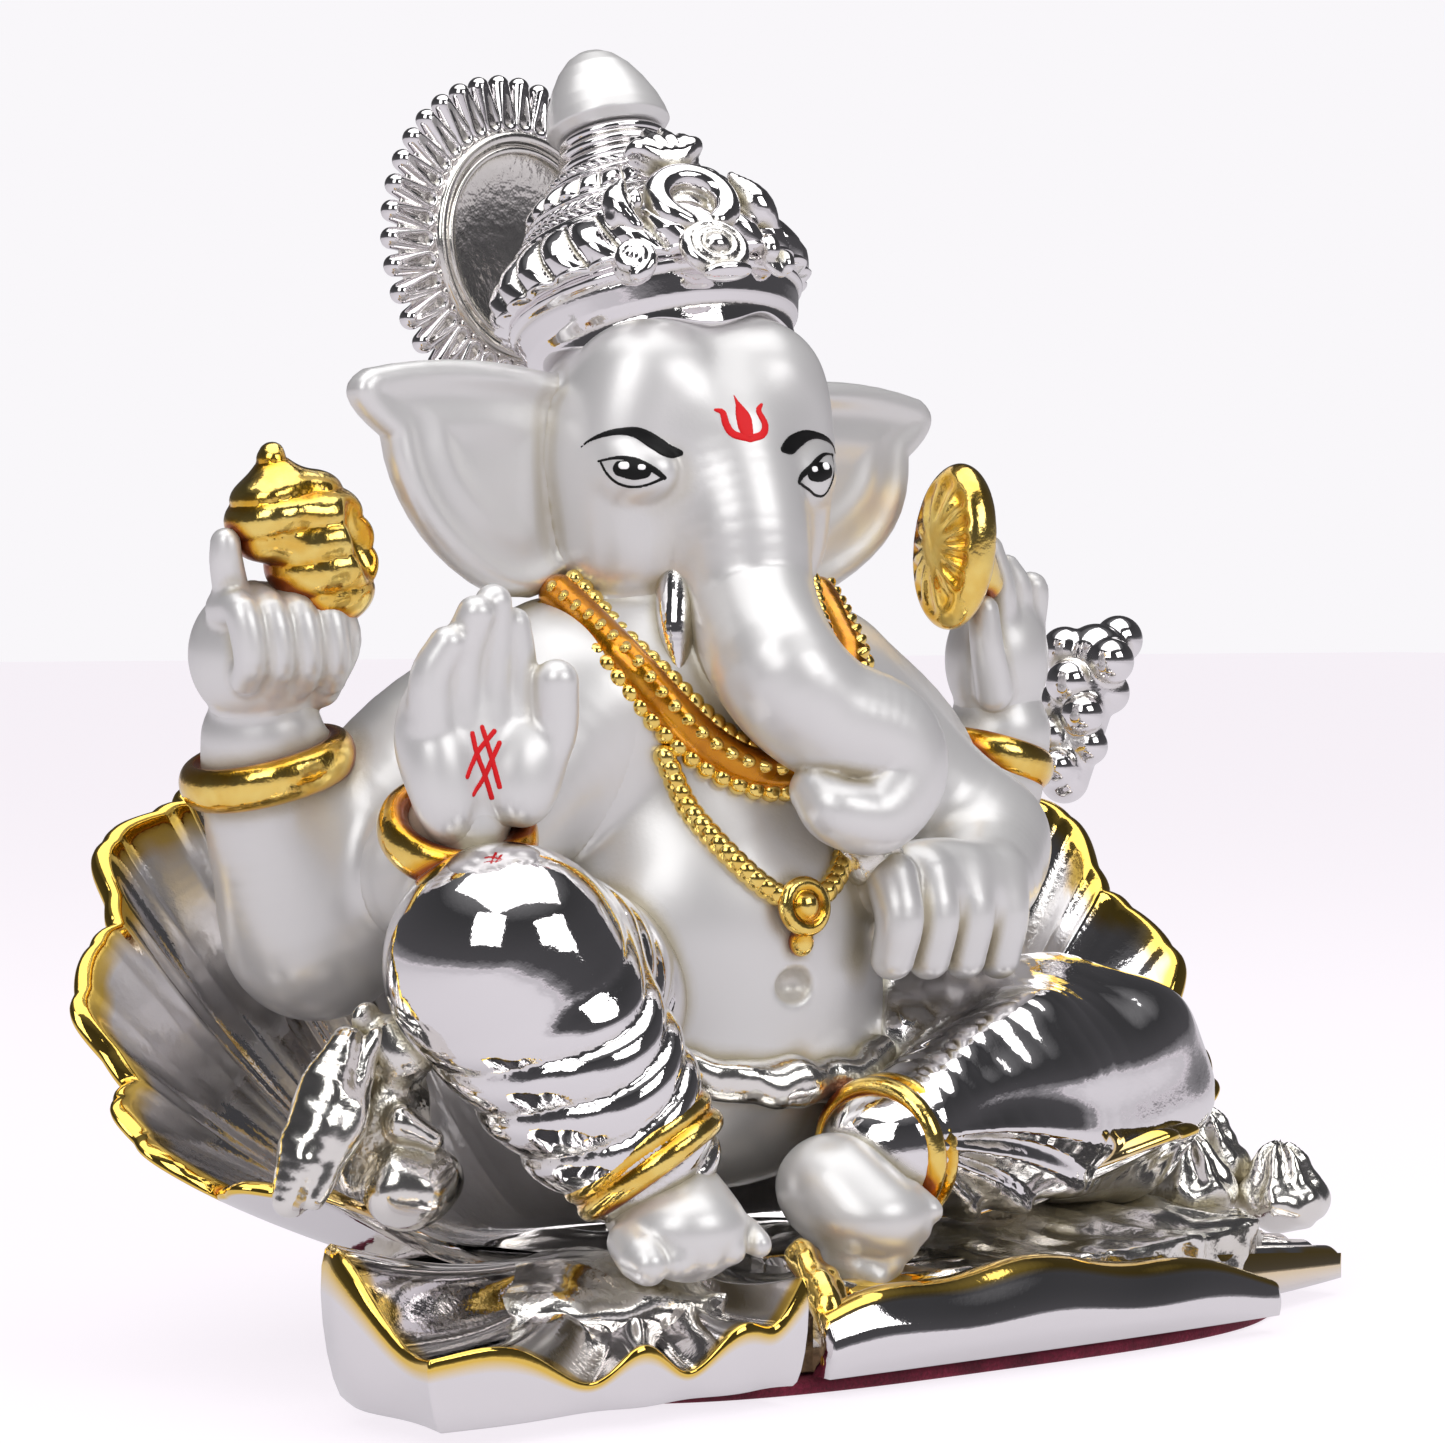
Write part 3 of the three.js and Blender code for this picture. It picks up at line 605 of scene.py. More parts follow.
def skin_of(shape: Shape, step: float, smooth: int = 1) -> Skin:
    """The surface of a distance shape as a quad mesh.

    Args:
        shape: the solid.
        step: the mesh's spacing in mm.
        smooth: how often the mesh is evened out.
    Returns:
        Its skin, with exact normals.
    """
    low, high = shape.reach()
    low = low - 2 * step
    count = np.ceil((high + 2 * step - low) / step).astype(int) + 1
    spots, quads = netted(measured(shape, low, -(-count // BLOCK), step))
    p, quads = largest_piece(low + spots * step, quads)
    ring = Neighbours(quads, len(p))
    for turn in range(smooth + 1):
        g = gradient(shape, p)
        size = np.maximum(np.linalg.norm(g, axis=1, keepdims=True), 0.3)
        p = p - np.clip(distances(shape, p)[:, None] / size, -step, step) * g / size
        if turn < smooth:
            n = g / size
            pull = ring.mean(p) - p
            pull -= np.sum(pull * n, axis=1, keepdims=True) * n
            p = p + 0.6 * pull
    n = unit(gradient(shape, p))
    for _ in range(2):
        n = unit(n + ring.mean(n))
    return Skin(p, quads, normals=n)


def largest_piece(p: Array, quads: Array) -> tuple[Array, Array]:
    """Drops every loose scrap of a mesh but its biggest connected piece.

    Args:
        p: the points.
        quads: the faces.
    Returns:
        The kept points and faces.
    """
    label = np.arange(len(p))
    while True:
        low = label[quads].min(axis=1)
        new = label.copy()
        for k in range(4):
            np.minimum.at(new, quads[:, k], low)
        new = new[new]
        if np.array_equal(new, label):
            break
        label = new
    names, counts = np.unique(label[quads[:, 0]], return_counts=True)
    keep = label == names[np.argmax(counts)]
    number = np.cumsum(keep) - 1
    return p[keep], number[quads[keep[quads[:, 0]]]]


def sheet_skin(rows: Array, closed_u: bool = True, caps: bool = True) -> Skin:
    """A skin from a grid of points.

    Args:
        rows: shape (along, around, 3); the rows go along the form.
        closed_u: whether each row closes on itself.
        caps: whether the first and last rows are closed with a fan.
    Returns:
        The skin; faces point to the left of the rows' walk.
    """
    n, m = rows.shape[:2]
    ids = np.arange(n * m).reshape(n, m)
    a = ids[:-1, :] if closed_u else ids[:-1, :-1]
    b = np.roll(ids, -1, axis=1)[:-1] if closed_u else ids[:-1, 1:]
    c = np.roll(ids, -1, axis=1)[1:] if closed_u else ids[1:, 1:]
    d = ids[1:, :] if closed_u else ids[1:, :-1]
    quads = np.stack([a, b, c, d], -1).reshape(-1, 4)
    points = rows.reshape(-1, 3)
    tris = np.zeros((0, 3), int)
    if caps:
        ends = np.vstack([rows[0].mean(0), rows[-1].mean(0)])
        first, last = len(points), len(points) + 1
        points = np.vstack([points, ends])
        ring = np.arange(m)
        after = (ring + 1) % m
        tris = np.vstack([np.stack([ids[0][after], ids[0][ring], np.full(m, first)], 1),
                          np.stack([ids[-1][ring], ids[-1][after], np.full(m, last)], 1)])
    return Skin(points, quads, tris)


def outward(skin: Skin) -> Skin:
    """The same skin with its faces turned out if the whole was inside out."""
    p = skin.points - skin.points.mean(0)
    volume = 0.0
    for faces, fan in ((skin.quads, ((0, 1, 2), (0, 2, 3))), (skin.tris, ((0, 1, 2),))):
        for i, j, k in fan:
            if len(faces):
                volume += float(np.sum(p[faces[:, i]] * np.cross(p[faces[:, j]], p[faces[:, k]])))
    if volume < 0:
        skin.quads = skin.quads[:, ::-1]
        skin.tris = skin.tris[:, ::-1]
    return skin


@lru_cache
def hills(size: float, seed: int) -> tuple[Array, Array, Array]:
    """Seven seeded wave directions about size mm long, what bends them, and their starts."""
    rng = np.random.default_rng(seed)
    way = unit(rng.normal(size=(7, 3))) * 2 * math.pi / (size * rng.uniform(0.8, 1.6, (7, 1)))
    bend = unit(rng.normal(size=(7, 3))) * 2 * math.pi / (size * 2.3)
    return way.T, bend.T, rng.uniform(0, 6, (2, 7))


def wander(p: Array, size: float, seed: int) -> Array:
    """Smooth random hills between about -1 and 1, size mm across, at each point."""
    way, bend, start = hills(size, seed)
    return np.sin(p @ way + 1.3 * np.sin(p @ bend + start[0]) + start[1]).sum(axis=1) / 4


def step_up(x: Array, a: float, b: float) -> Array:
    """Rises smoothly from 0 at a to 1 at b."""
    t = np.clip((x - a) / (b - a), 0, 1)
    return t * t * (3 - 2 * t)


# ---- finishes
class Slot(Enum):
    """The record's material slots."""

    MIRROR = "mirror_silver"
    SATIN = "satin_silver"
    GOLD = "gold_lacquer"
    VELVET = "velvet"
    BOARD = "board"


def linear(hex_colour: str) -> tuple[float, float, float, float]:
    """An sRGB hex colour as linear red, green, blue and alpha."""
    parts = [int(hex_colour[i : i + 2], 16) / 255 for i in (1, 3, 5)]
    return (*[c / 12.92 if c <= 0.04045 else ((c + 0.055) / 1.055) ** 2.4 for c in parts], 1.0)


def add_node(tree: Tree, kind: str, settings: dict | None = None,
             inputs: dict | None = None) -> bpy.types.Node:
    """Adds a node to a tree.

    Args:
        tree: the tree.
        kind: the node's type name.
        settings: its own properties.
        inputs: for each input socket, a value or the output socket that feeds it.
    Returns:
        The node.
    """
    node = tree.nodes.new(kind)
    for key, value in (settings or {}).items():
        setattr(node, key, value)
    for key, value in (inputs or {}).items():
        socket = node.inputs[key]
        if isinstance(value, Socket):
            tree.links.new(value, socket)
        else:
            socket.default_value = value
    return node


def ramp_node(tree: Tree, source: Socket, stops: Sequence[tuple[float, str]]) -> Socket:
    """A colour ramp over a value, given as (place, hex colour) stops."""
    node = add_node(tree, "ShaderNodeValToRGB", inputs={"Fac": source})
    points = node.color_ramp.elements
    while len(points) < len(stops):
        points.new(0.5)
    for point, (place, colour) in zip(points, stops):
        point.position = place
        point.color = linear(colour)
    return node.outputs["Color"]


def number_ramp(tree: Tree, source: Socket, a: float, b: float, low: float, high: float) -> Socket:
    """A value carried from the range a..b to low..high."""
    node = add_node(tree, "ShaderNodeMapRange", inputs={
        "Value": source, "From Min": a, "From Max": b, "To Min": low, "To Max": high})
    return node.outputs["Result"]


def blend_colour(tree: Tree, share: Socket, a: Tint, b: Tint) -> Socket:
    """Mixes colour a towards b by share."""
    node = add_node(tree, "ShaderNodeMix", {"data_type": "RGBA"})
    for index, value in ((0, share), (6, a), (7, b)):
        if isinstance(value, Socket):
            tree.links.new(value, node.inputs[index])
        else:
            node.inputs[index].default_value = value
    return node.outputs[2]


def new_material(name: str) -> tuple[Material, Tree, Socket]:
    """A material with an empty tree, its tree and the place on the object."""
    material = bpy.data.materials.new(name)
    material.use_nodes = True
    tree = material.node_tree
    tree.nodes.clear()
    return material, tree, add_node(tree, "ShaderNodeTexCoord").outputs["Object"]


def mottle(tree: Tree, place: Socket, size_mm: float, detail: float = 2.0, rough: float = 0.5) -> Socket:
    """Noise about size_mm across."""
    node = add_node(tree, "ShaderNodeTexNoise", inputs={
        "Vector": place, "Scale": 1 / (size_mm * MM), "Detail": detail, "Roughness": rough})
    return node.outputs["Fac"]


def scaled(tree: Tree, value: Socket, scale: object, extra: object, clamp: bool = False) -> Socket:
    """value * scale + extra, kept between 0 and 1 by clamp."""
    return add_node(tree, "ShaderNodeMath", {"operation": "MULTIPLY_ADD", "use_clamp": clamp},
                    {0: value, 1: scale, 2: extra}).outputs[0]


def mark_node(tree: Tree, name: str) -> Socket:
    """One of the marks that the mesh carries."""
    return add_node(tree, "ShaderNodeAttribute", {"attribute_name": name}).outputs["Fac"]


def bumped(tree: Tree, height: Socket, depth_mm: float, strength: object) -> Socket:
    """The normal of a surface that height roughens by depth_mm."""
    return add_node(tree, "ShaderNodeBump", inputs={
        "Height": height, "Distance": depth_mm * MM, "Strength": strength}).outputs["Normal"]


def surface(tree: Tree, inputs: dict) -> None:
    """Ends a material with the surface that inputs describe."""
    shader = add_node(tree, "ShaderNodeBsdfPrincipled", inputs=inputs)
    add_node(tree, "ShaderNodeOutputMaterial", inputs={"Surface": shader.outputs["BSDF"]})


@dataclass(frozen=True)
class PlatedSilver:
    """Silver plate over a casting: the base of the bright and the satin finish.

    The hollow colour is the warm grey painted into the hollows: painted shade there, with the warm tone of
    tarnish; grain_mm the size of the casting's grain.
    """

    name: str
    bright: str
    hollow: str
    roughness: float
    hollow_roughness: float
    coat: float
    grain_mm: float
    grain_depth: float
    metallic: float = 1.0
    gilt: bool = True

    def build(self) -> Material:
        """Makes the material."""
        material, tree, place = new_material(self.name)
        # Painted shade: the hollow mark darkens and warms the colour where neighbours shut out the light; the
        # mottle makes it patchy.
        hollow = mark_node(tree, "hollow")
        worn = scaled(tree, mottle(tree, place, 4.0, 3.0, 0.6), 0.5, -0.25)
        deep = scaled(tree, worn, hollow, hollow, True)
        colour = blend_colour(tree, number_ramp(tree, deep, 0.12, 0.75, 0.0, 1.0),
                              linear(self.bright), linear(self.hollow))
        if self.gilt:
            # The gold darkens towards orange-brown in the hollows too: painted shade.
            gold = ramp_node(tree, deep, ((0.0, "#f6cf62"), (0.35, "#e3a51f"), (0.8, "#b05c08")))
            colour = blend_colour(tree, mark_node(tree, "gilt"), colour, gold)
        surface(tree, {
            "Base Color": colour, "Metallic": self.metallic,
            "Roughness": number_ramp(tree, deep, 0.1, 0.7, self.roughness, self.hollow_roughness),
            "Coat Weight": self.coat, "Coat Roughness": 0.08,
            "Normal": bumped(tree, mottle(tree, place, self.grain_mm, 2.0, 0.55), self.grain_depth,
                             number_ramp(tree, deep, 0.0, 0.6, 0.1, 1.0))})
        return material


@dataclass(frozen=True)
class GoldLacquer:
    """Transparent gold lacquer brushed over bright plate: it pools orange in the hollows, and its darker
    brown there is also painted shade.
    """

    name: str = "gold_lacquer_on_plate"
    grain_mm: float = 0.9

    def build(self) -> Material:
        """Makes the material."""
        material, tree, place = new_material(self.name)
        low = scaled(tree, mark_node(tree, "hollow"), 1.3, -0.2)
        # Painted shade with pooled lacquer: the colour darkens to brown where the hollow mark is high.
        lacquer_pool_and_shade = scaled(tree, mottle(tree, place, 3.0), 0.5, low, True)
        surface(tree, {
            "Base Color": ramp_node(tree, lacquer_pool_and_shade, (
                (0.0, "#ffdf7c"), (0.3, "#efb62f"), (0.6, "#d88c10"), (0.95, "#9c4a05"))),
            "Metallic": 1.0, "Roughness": number_ramp(tree, lacquer_pool_and_shade, 0.1, 0.9, 0.14, 0.34),
            "Coat Weight": 0.6, "Coat Roughness": 0.05,
            "Normal": bumped(tree, mottle(tree, place, self.grain_mm), 0.12, 0.5)})
        return material


@dataclass(frozen=True)
class Paint:
    """Glossy enamel paint laid on by brush; the white is painted highlight on the eyes."""

    name: str
    colour: str
    worn: str

    def build(self) -> Material:
        """Makes the material."""
        material, tree, place = new_material(self.name)
        thin = number_ramp(tree, mottle(tree, place, 1.5, 1.0), 0.3, 0.8, 0.0, 0.12)
        surface(tree, {"Base Color": blend_colour(tree, thin, linear(self.colour), linear(self.worn)),
                       "Roughness": 0.45, "Specular IOR Level": 0.25})
        return material


@dataclass(frozen=True)
class Velvet:
    """Cotton velvet glued under the base: a short dense pile that shines at its edges."""

    name: str = "maroon_cotton_velvet"
    pile_mm: float = 0.35

    def build(self) -> Material:
        """Makes the material."""
        material, tree, place = new_material(self.name)
        pile = mottle(tree, place, self.pile_mm, 3.0, 0.7)
        shade = scaled(tree, pile, mottle(tree, place, 6.0), 0.0)
        surface(tree, {
            "Base Color": ramp_node(tree, shade, ((0.1, "#3d0515"), (0.3, "#640c27"), (0.5, "#821b38"))),
            "Roughness": 0.9, "Sheen Weight": 0.3, "Sheen Roughness": 0.4, "Sheen Tint": linear("#e06a8c"),
            "Normal": bumped(tree, pile, 0.2, 0.8)})
        return material


@dataclass(frozen=True)
class FibreBoard:
    """Pressed wood fibre with a sawn edge: matt, brown and flecked."""

    name: str = "pressed_fibre_board"

    def build(self) -> Material:
        """Makes the material."""
        material, tree, place = new_material(self.name)
        fleck = mottle(tree, place, 0.8, 4.0)
        surface(tree, {"Base Color": ramp_node(tree, fleck, ((0.3, "#6d5840"), (0.6, "#93795a"))),
                       "Roughness": 0.85})
        return material


class Finish(Enum):
    """Every finish on the idol, and how it is made."""

    # Nickel-bright silver plate under clear lacquer: a mirror, frosted and grey only in the hollows, where
    # the grey is painted shade.
    MIRROR = PlatedSilver("bright_silver_plate", "#f1eeef", "#c9c3b2", 0.045, 0.42, 0.3, 0.7, 0.10)
    # Silver plate over a frosted casting: pearly, with soft wide highlights under the lacquer.
    SATIN = PlatedSilver("satin_silver_plate", "#dddcdb", "#c3bba8", 0.38, 0.5, 0.25, 0.45, 0.05, 0.55, False)
    # The same plate where the casting was crumpled and never polished.
    CRUMPLED = PlatedSilver("crumpled_silver_plate", "#eeebe6", "#cfc8b4", 0.16, 0.45, 0.3, 1.1, 0.4)
    GOLD = GoldLacquer()
    BLACK = Paint("black_enamel_paint", "#070707", "#242424")
    RED = Paint("red_enamel_paint", "#c8060f", "#d8202a")
    # Painted highlights: white laid on the irises where the lamps' reflections show.
    WHITE = Paint("white_enamel_paint", "#f4f4f4", "#ffffff")
    VELVET = Velvet()
    BOARD = FibreBoard()

    def material(self) -> Material:
        """The finish's material, made once."""
        made = bpy.data.materials.get(self.value.name)
        return made or self.value.build()


def object_from(skin: Skin, name: str, finish: Finish) -> bpy.types.Object:
    """Makes a mesh object at the origin from a skin in the figure's frame.

    Args:
        skin: the mesh in mm.
        name: the piece's name.
        finish: what it is made of.
    Returns:
        The object, in metres.
    """
    mesh = bpy.data.meshes.new(name)
    points = (skin.points + AXIS) * MM
    mesh.vertices.add(len(points))
    mesh.vertices.foreach_set("co", points.ravel())
    corners = np.concatenate([skin.quads.ravel(), skin.tris.ravel()]).astype(np.int32)
    nq, nt = len(skin.quads), len(skin.tris)
    mesh.loops.add(len(corners))
    mesh.loops.foreach_set("vertex_index", corners)
    mesh.polygons.add(nq + nt)
    mesh.polygons.foreach_set("loop_start", np.concatenate(
        [np.arange(nq) * 4, nq * 4 + np.arange(nt) * 3]).astype(np.int32))
    mesh.polygons.foreach_set("use_smooth", np.ones(nq + nt, bool))
    mesh.update(calc_edges=True)
    for mark in ("hollow", "gilt"):
        layer = mesh.attributes.new(mark, "FLOAT", "POINT")
        values = skin.marks.get(mark)
        layer.data.foreach_set("value", np.zeros(len(points)) if values is None else values)
    if skin.normals is not None:
        mesh.normals_split_custom_set_from_vertices(skin.normals.tolist())
    mesh.materials.append(finish.material())
    piece = bpy.data.objects.new(name, mesh)
    bpy.context.scene.collection.objects.link(piece)
    return piece


def dress(piece: bpy.types.Object, slot: Slot, nodes: Sequence[str] = ()) -> bpy.types.Object:
    """Fixes a piece to the idol's one body and hides the CAD nodes it stands for."""
    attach(piece, "root")
    if nodes:
        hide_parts(*nodes)
    log.info("%s: %d faces", piece.name, len(piece.data.polygons))
    return piece


# ---- the figure's landmarks
HEAD_TURN = turn_about("Z", 10.0)
NECK = np.array([0.0, 6.0, 78.0])


def in_head(x: float, y: float, z: float) -> Array:
    """A point given in the head's own frame, whose origin is on the neck, level with the chin."""
    return HEAD_TURN @ np.array([x, y, z]) + NECK


def head_ball(centre: Point, radii: Point) -> Ball:
    """An egg placed and turned with the head."""
    return Ball(in_head(*centre), radii, (0, 0, 10))


FACE_TURN = turn_about("Z", -18.0)


def in_face(x: float, y: float, z: float) -> Array:
    """A point given in the face's frame, which is turned a little further to the figure's right."""
    return in_head(*(FACE_TURN @ np.array([x, y, z])))


def face_ball(centre: Point, radii: Point, turn: float = 0.0) -> Ball:
    """An egg placed with the face and turned about the upright by turn degrees more."""
    return Ball(in_face(*centre), radii, (0, 0, turn - 8.0))


def finger(points: Sequence[Point], thick: float, base: Sequence[float] = (0, 0, 0)) -> Rod:
    """A finger through points seen from base, a little thinner at its tip."""
    n = len(points)
    return Rod([np.asarray(q) + base for q in points],
               [thick * (1 - 0.18 * i / (n - 1)) for i in range(n)], 5)


@dataclass
class Body:
    """The satin castings of the figure: trunk of the body, arms, hands, head, ears and feet."""

    belly: Point = (0.0, 0.5, 44.0)
    chest: Point = (0.0, 3.0, 65.0)
    step: float = 0.44
    soft: dict[str, float] = field(default_factory=lambda: {
        "torso": 0.0, "arm_upper_right": 5.0, "arm_upper_left": 5.0, "arm_lower_right": 3.5,
        "arm_lower_left": 3.5, "hand_upper_right": 1.2, "hand_upper_left": 1.2,
        "hand_lower_right": 1.2, "hand_lower_left": 1.2, "head": 1.0, "ear_right": 1.6,
        "ear_left": 1.6, "foot_right": 0.5, "foot_left": 0.5})

    def torso(self) -> Shape:
        """Belly, chest and neck in one casting."""
        bulk = Blend([
            Ball(self.belly, (20.5, 18, 20.5)),
            Ball((0, 2.5, 30), (21.5, 19, 15)),
            Ball(self.chest, (22, 14, 16)),
            Ball((0, 5, 76), (14, 11, 9)),
        ], 6.0)
        return Carved(bulk, [Ball(in_belly(-0.7, 38.9), (2.0, 1.7, 1.6))], 1.1)

    def arms(self) -> dict[str, Shape]:
        """Four arms, each from its shoulder over the elbow to the wrist."""
        up_r = Blend([Rod([(-17.6, 5, 69), (-31.3, 9.5, 60), (-41, 14, 45)], [10.5, 9.8, 9.0]),
                      Rod([(-41, 14, 45), (-45.5, 13.2, 54), (-47.5, 12.5, 62), (-48.4, 11.9, 65)],
                          [9.2, 7.8, 7.0, 6.5])], 4.0)
        up_l = Blend([Rod([(17.6, 5, 69), (32.3, 9, 60), (43, 14, 46)], [10.5, 9.8, 9.0]),
                      Rod([(43, 14, 46), (47.5, 13.4, 54), (50, 13, 61), (50.8, 12.4, 64)],
                          [9.2, 7.6, 6.8, 6.2])], 4.0)
        low_r = Blend([Rod([(-15.6, 2, 67), (-26, 0.6, 58), (-34, -2, 51)], [9.5, 8.6, 7.8]),
                       Rod([(-34, -2, 51), (-37, -7.6, 52.4), (-38.5, -11, 56)], [7.6, 6.4, 5.4])], 3.0)
        low_l = Blend([Rod([(15.6, 2, 67), (27, 0.4, 59), (35, -3, 52)], [9.5, 8.8, 8.0]),
                       Rod([(35, -3, 52), (31, -9.5, 49.4), (26, -14, 48)], [7.8, 6.6, 5.4])], 3.0)
        return {"arm_upper_right": up_r, "arm_upper_left": up_l,
                "arm_lower_right": low_r, "arm_lower_left": low_l}

    def blessing_hand(self) -> Shape:
        """The lower right hand, palm to the front, fingers up."""
        palm = (-38.2, -13.2, 65.5)
        parts: list[Shape] = [
            Ball(palm, (8.4, 3.9, 9.0), (-6, 0, -6)),
            Ball((-33.6, -15.8, 62.6), (4.4, 3.2, 6.2), (-10, 14, 0)),
            Ball((-42.6, -14.4, 62.0), (3.6, 3.2, 6.8), (-6, -6, 0)),
            finger([(-5.6, -1.2, 2), (-6.0, -1.9, 6.4), (-4.6, -2.8, 9.6)], 2.25, palm),
            finger([(-2.4, -0.9, 3), (-2.4, -1.9, 8.6), (-1.6, -3.4, 12.6)], 2.35, palm),
            finger([(1.0, -1.2, 3), (1.2, -1.8, 9.2), (1.0, -2.6, 13.8)], 2.3, palm),
            finger([(4.2, -1.6, 3), (4.4, -1.8, 7.6), (3.8, -2.0, 11.6)], 2.1, palm),
            finger([(5.0, -2.0, -4.6), (7.4, -3.4, 0.4), (7.2, -4.6, 5.8)], 2.8, palm),
        ]
        return Blend(parts, 0.9)

    def closed_hand(self) -> Shape:
        """The upper right fist under the conch."""
        fist = (-50.0, 10.0, 74.0)
        parts: list[Shape] = [Ball(fist, (7.4, 6.6, 7.6))]
        for i in range(4):
            x = -5.2 + i * 3.3
            parts.append(finger([(x, -2.4, 6.2 - abs(i - 1.5)), (x - 0.2, -6.4, 4.4), (x + 0.4, -7.3, -0.4),
                                 (x + 1.0, -5.2, -2.6)], 1.95, fist))
        parts.append(finger([(6, -2.4, -3.4), (7.2, -5.0, 1.4), (5.0, -6.0, 6.0)], 2.2, fist))
        parts.append(finger([(-4.6, -3.0, 6.0), (-6.0, -4.4, 9.4), (-6.2, -4.6, 11.4)], 1.9, fist))
        return Blend(parts, 0.9)

    def pinching_hand(self) -> Shape:
        """The upper left hand that holds the disc."""
        fist = (50.0, 12.0, 74.0)
        parts: list[Shape] = [Ball((50.2, 12.0, 72.8), (6.4, 5.8, 8.2))]
        for i in range(3):
            parts.append(finger([(-1.6 + i * 3, -2.6 + i, 2), (-2.0 + i * 3.3, -3.4 + i, 7),
                                 (-3.4 + i * 3.4, -3 + i, 11.8 - i * 2.2)], 2.0, fist))
        parts.append(finger([(-3.6, -4.2, -5), (-5.6, -5.4, 0), (-6.2, -5.4, 4.6)], 2.2, fist))
        return Blend(parts, 0.9)

    def resting_hand(self) -> Shape:
        """The lower left hand, its fingers hanging in front of the lap."""
        palm = (18.0, -17.0, 44.0)
        parts: list[Shape] = [Ball((20.6, -15.8, 48.4), (11.6, 4.4, 5.4), (0, 4, 0))]
        for i in range(4):
            x = -6.6 + i * 5.5
            parts.append(finger([(x, -1.2 + i * 0.7, 5.8), (x - 0.5, -3.2 + i * 0.8, 1.6),
                                 (x - 0.8, -2.4 + i * 0.8, -2.6 - i * 0.3)], 2.9, palm))
        return Blend(parts, 0.8)

    def trunk(self) -> Rod:
        """The trunk: down the chest, out to the figure's left, and curled back at its end."""
        path = [in_face(0.6, -9, 17.5), in_face(1.2, -12.6, 9.5), in_face(1.4, -15, 1.5), (-2.4, -16.5, 72.4),
                (1.9, -18.5, 67.6), (8.5, -20, 65), (9.8, -21, 61), (6.3, -22, 57.1), (1.4, -22, 57.4),
                (0.2, -20, 59.6)]
        return Rod(path, [8.6, 7.7, 7.1, 7.0, 6.8, 6.2, 5.4, 4.4, 3.6, 3.0], 6)

    def head(self) -> Shape:
        """Skull, two brow domes, eyes, cheeks, jaw and trunk."""
        sides = (-1, 1)
        bulk = Blend([
            head_ball((-1.3, 0, 18.5), (15.9, 14, 16.5)),
            *[face_ball((s * 6.2 - 0.6, -7.6, 24.0), (8.4, 7.0, 8.4)) for s in sides],
            *[face_ball((s * 9.2 - 0.8, -5.4, 16.6), (7.2, 8.4, 9.5)) for s in sides],
            head_ball((0, -1.5, 8.5), (13.4, 12, 11.5)),
            *[face_ball((s * 8.8 - 0.6, -5.4, 8.6), (6.4, 7.0, 7.4)) for s in sides],
        ], 3.4)
        eyes = Blend([face_ball((s * 10.5 - 0.7, -12.8, 15.2), (4.4, 2.5, 3.1), s * 38) for s in sides], 0.1)
        jaw = Rod([in_face(4, -7, 2.5), in_face(4.4, -10, -1.5), in_face(4.6, -11, -3.5)], [5.6, 4.4, 3.4])
        return Blend([Blend([bulk, self.trunk()], 3.2), eyes, jaw], 1.3)

    def ear(self, side: int) -> Shape:
        """One ear: a fan with a rolled rim and a fold along its middle.

        Args:
            side: -1 for the figure's right, 1 for its left.
        Returns:
            The ear in the figure's frame.
        """
        reach, high, root = 30.0, 25.0, side * 13.3

        def out(share: float) -> float:
            """The x at a share of the ear's reach."""
            return root + side * share * reach

        bends = [((root, 0.36 * high), (out(0.5), 0.48 * high), (out(0.96), 0.36 * high)),
                 ((out(0.96), 0.36 * high), (out(1.12), 0.26 * high), (out(0.88), 0.08 * high)),
                 ((out(0.88), 0.08 * high), (out(0.86), -0.3 * high), (out(0.48), -0.52 * high)),
                 ((out(0.48), -0.52 * high), (out(0.2), -0.68 * high), (root, -0.42 * high))]
        outline = [((1 - t) ** 2 * np.array(a) + 2 * t * (1 - t) * np.array(b) + t * t * np.array(c))
                   for a, b, c in bends for t in np.arange(8) / 8]
        outline.append(np.array([root, -0.42 * high]))

        def bow(x: Array, z: Array, inside: Array) -> tuple[Array, Array]:
            """The middle and half thickness of the ear, thicker at its rim and its fold."""
            rim = np.exp(-(((inside - 1.7) / 1.3) ** 2))
            fold = np.exp(-(((inside - 6.6) / 1.7) ** 2)) * step_up(side * (x - root), 3, 9)
            far_out = step_up(side * (x - root), 4, 26)
            middle = 2.9 - 0.7 * far_out * (1 - rim) + 0.5 * np.sin(z * 0.22) * far_out
            return middle - 0.35 * rim - 0.15 * fold, 1.3 + 0.7 * rim + 0.28 * fold

        fan = Fan(outline, bow, (0.2, 5.6))
        return Placed(fan, HEAD_TURN, in_head(0, 0, 16.5))

    def foot(self, heel: Point, toe: Point, across: Point) -> Shape:
        """A foot from heel to toes.

        Args:
            heel: middle of the heel.
            toe: middle of the row of toes.
            across: from the little toe's side to the big toe's side, in mm.
        Returns:
            The foot.
        """
        a, b, w = np.array(heel), np.array(toe), np.array(across)
        sole = Blend([Ball(a, (5.6, 5.8, 4.6)), Ball(a + (b - a) * 0.55, (6.6, 6.2, 4.3)),
                      Rod([a, a + (b - a) * 0.7], [5.0, 4.2])], 3.0)
        parts: list[Shape] = [sole]
        ahead = unit(b - a)
        for i in range(5):
            share = i / 4 - 0.5
            size = 2.35 - 0.27 * i
            middle = b - w * share * 2
            parts.append(Rod([middle - ahead * 2.4, middle, middle + ahead * (1.6 - 0.25 * i)],
                             [size, size * 1.05, size * 0.85], 2))
        return Blend(parts, 0.8)

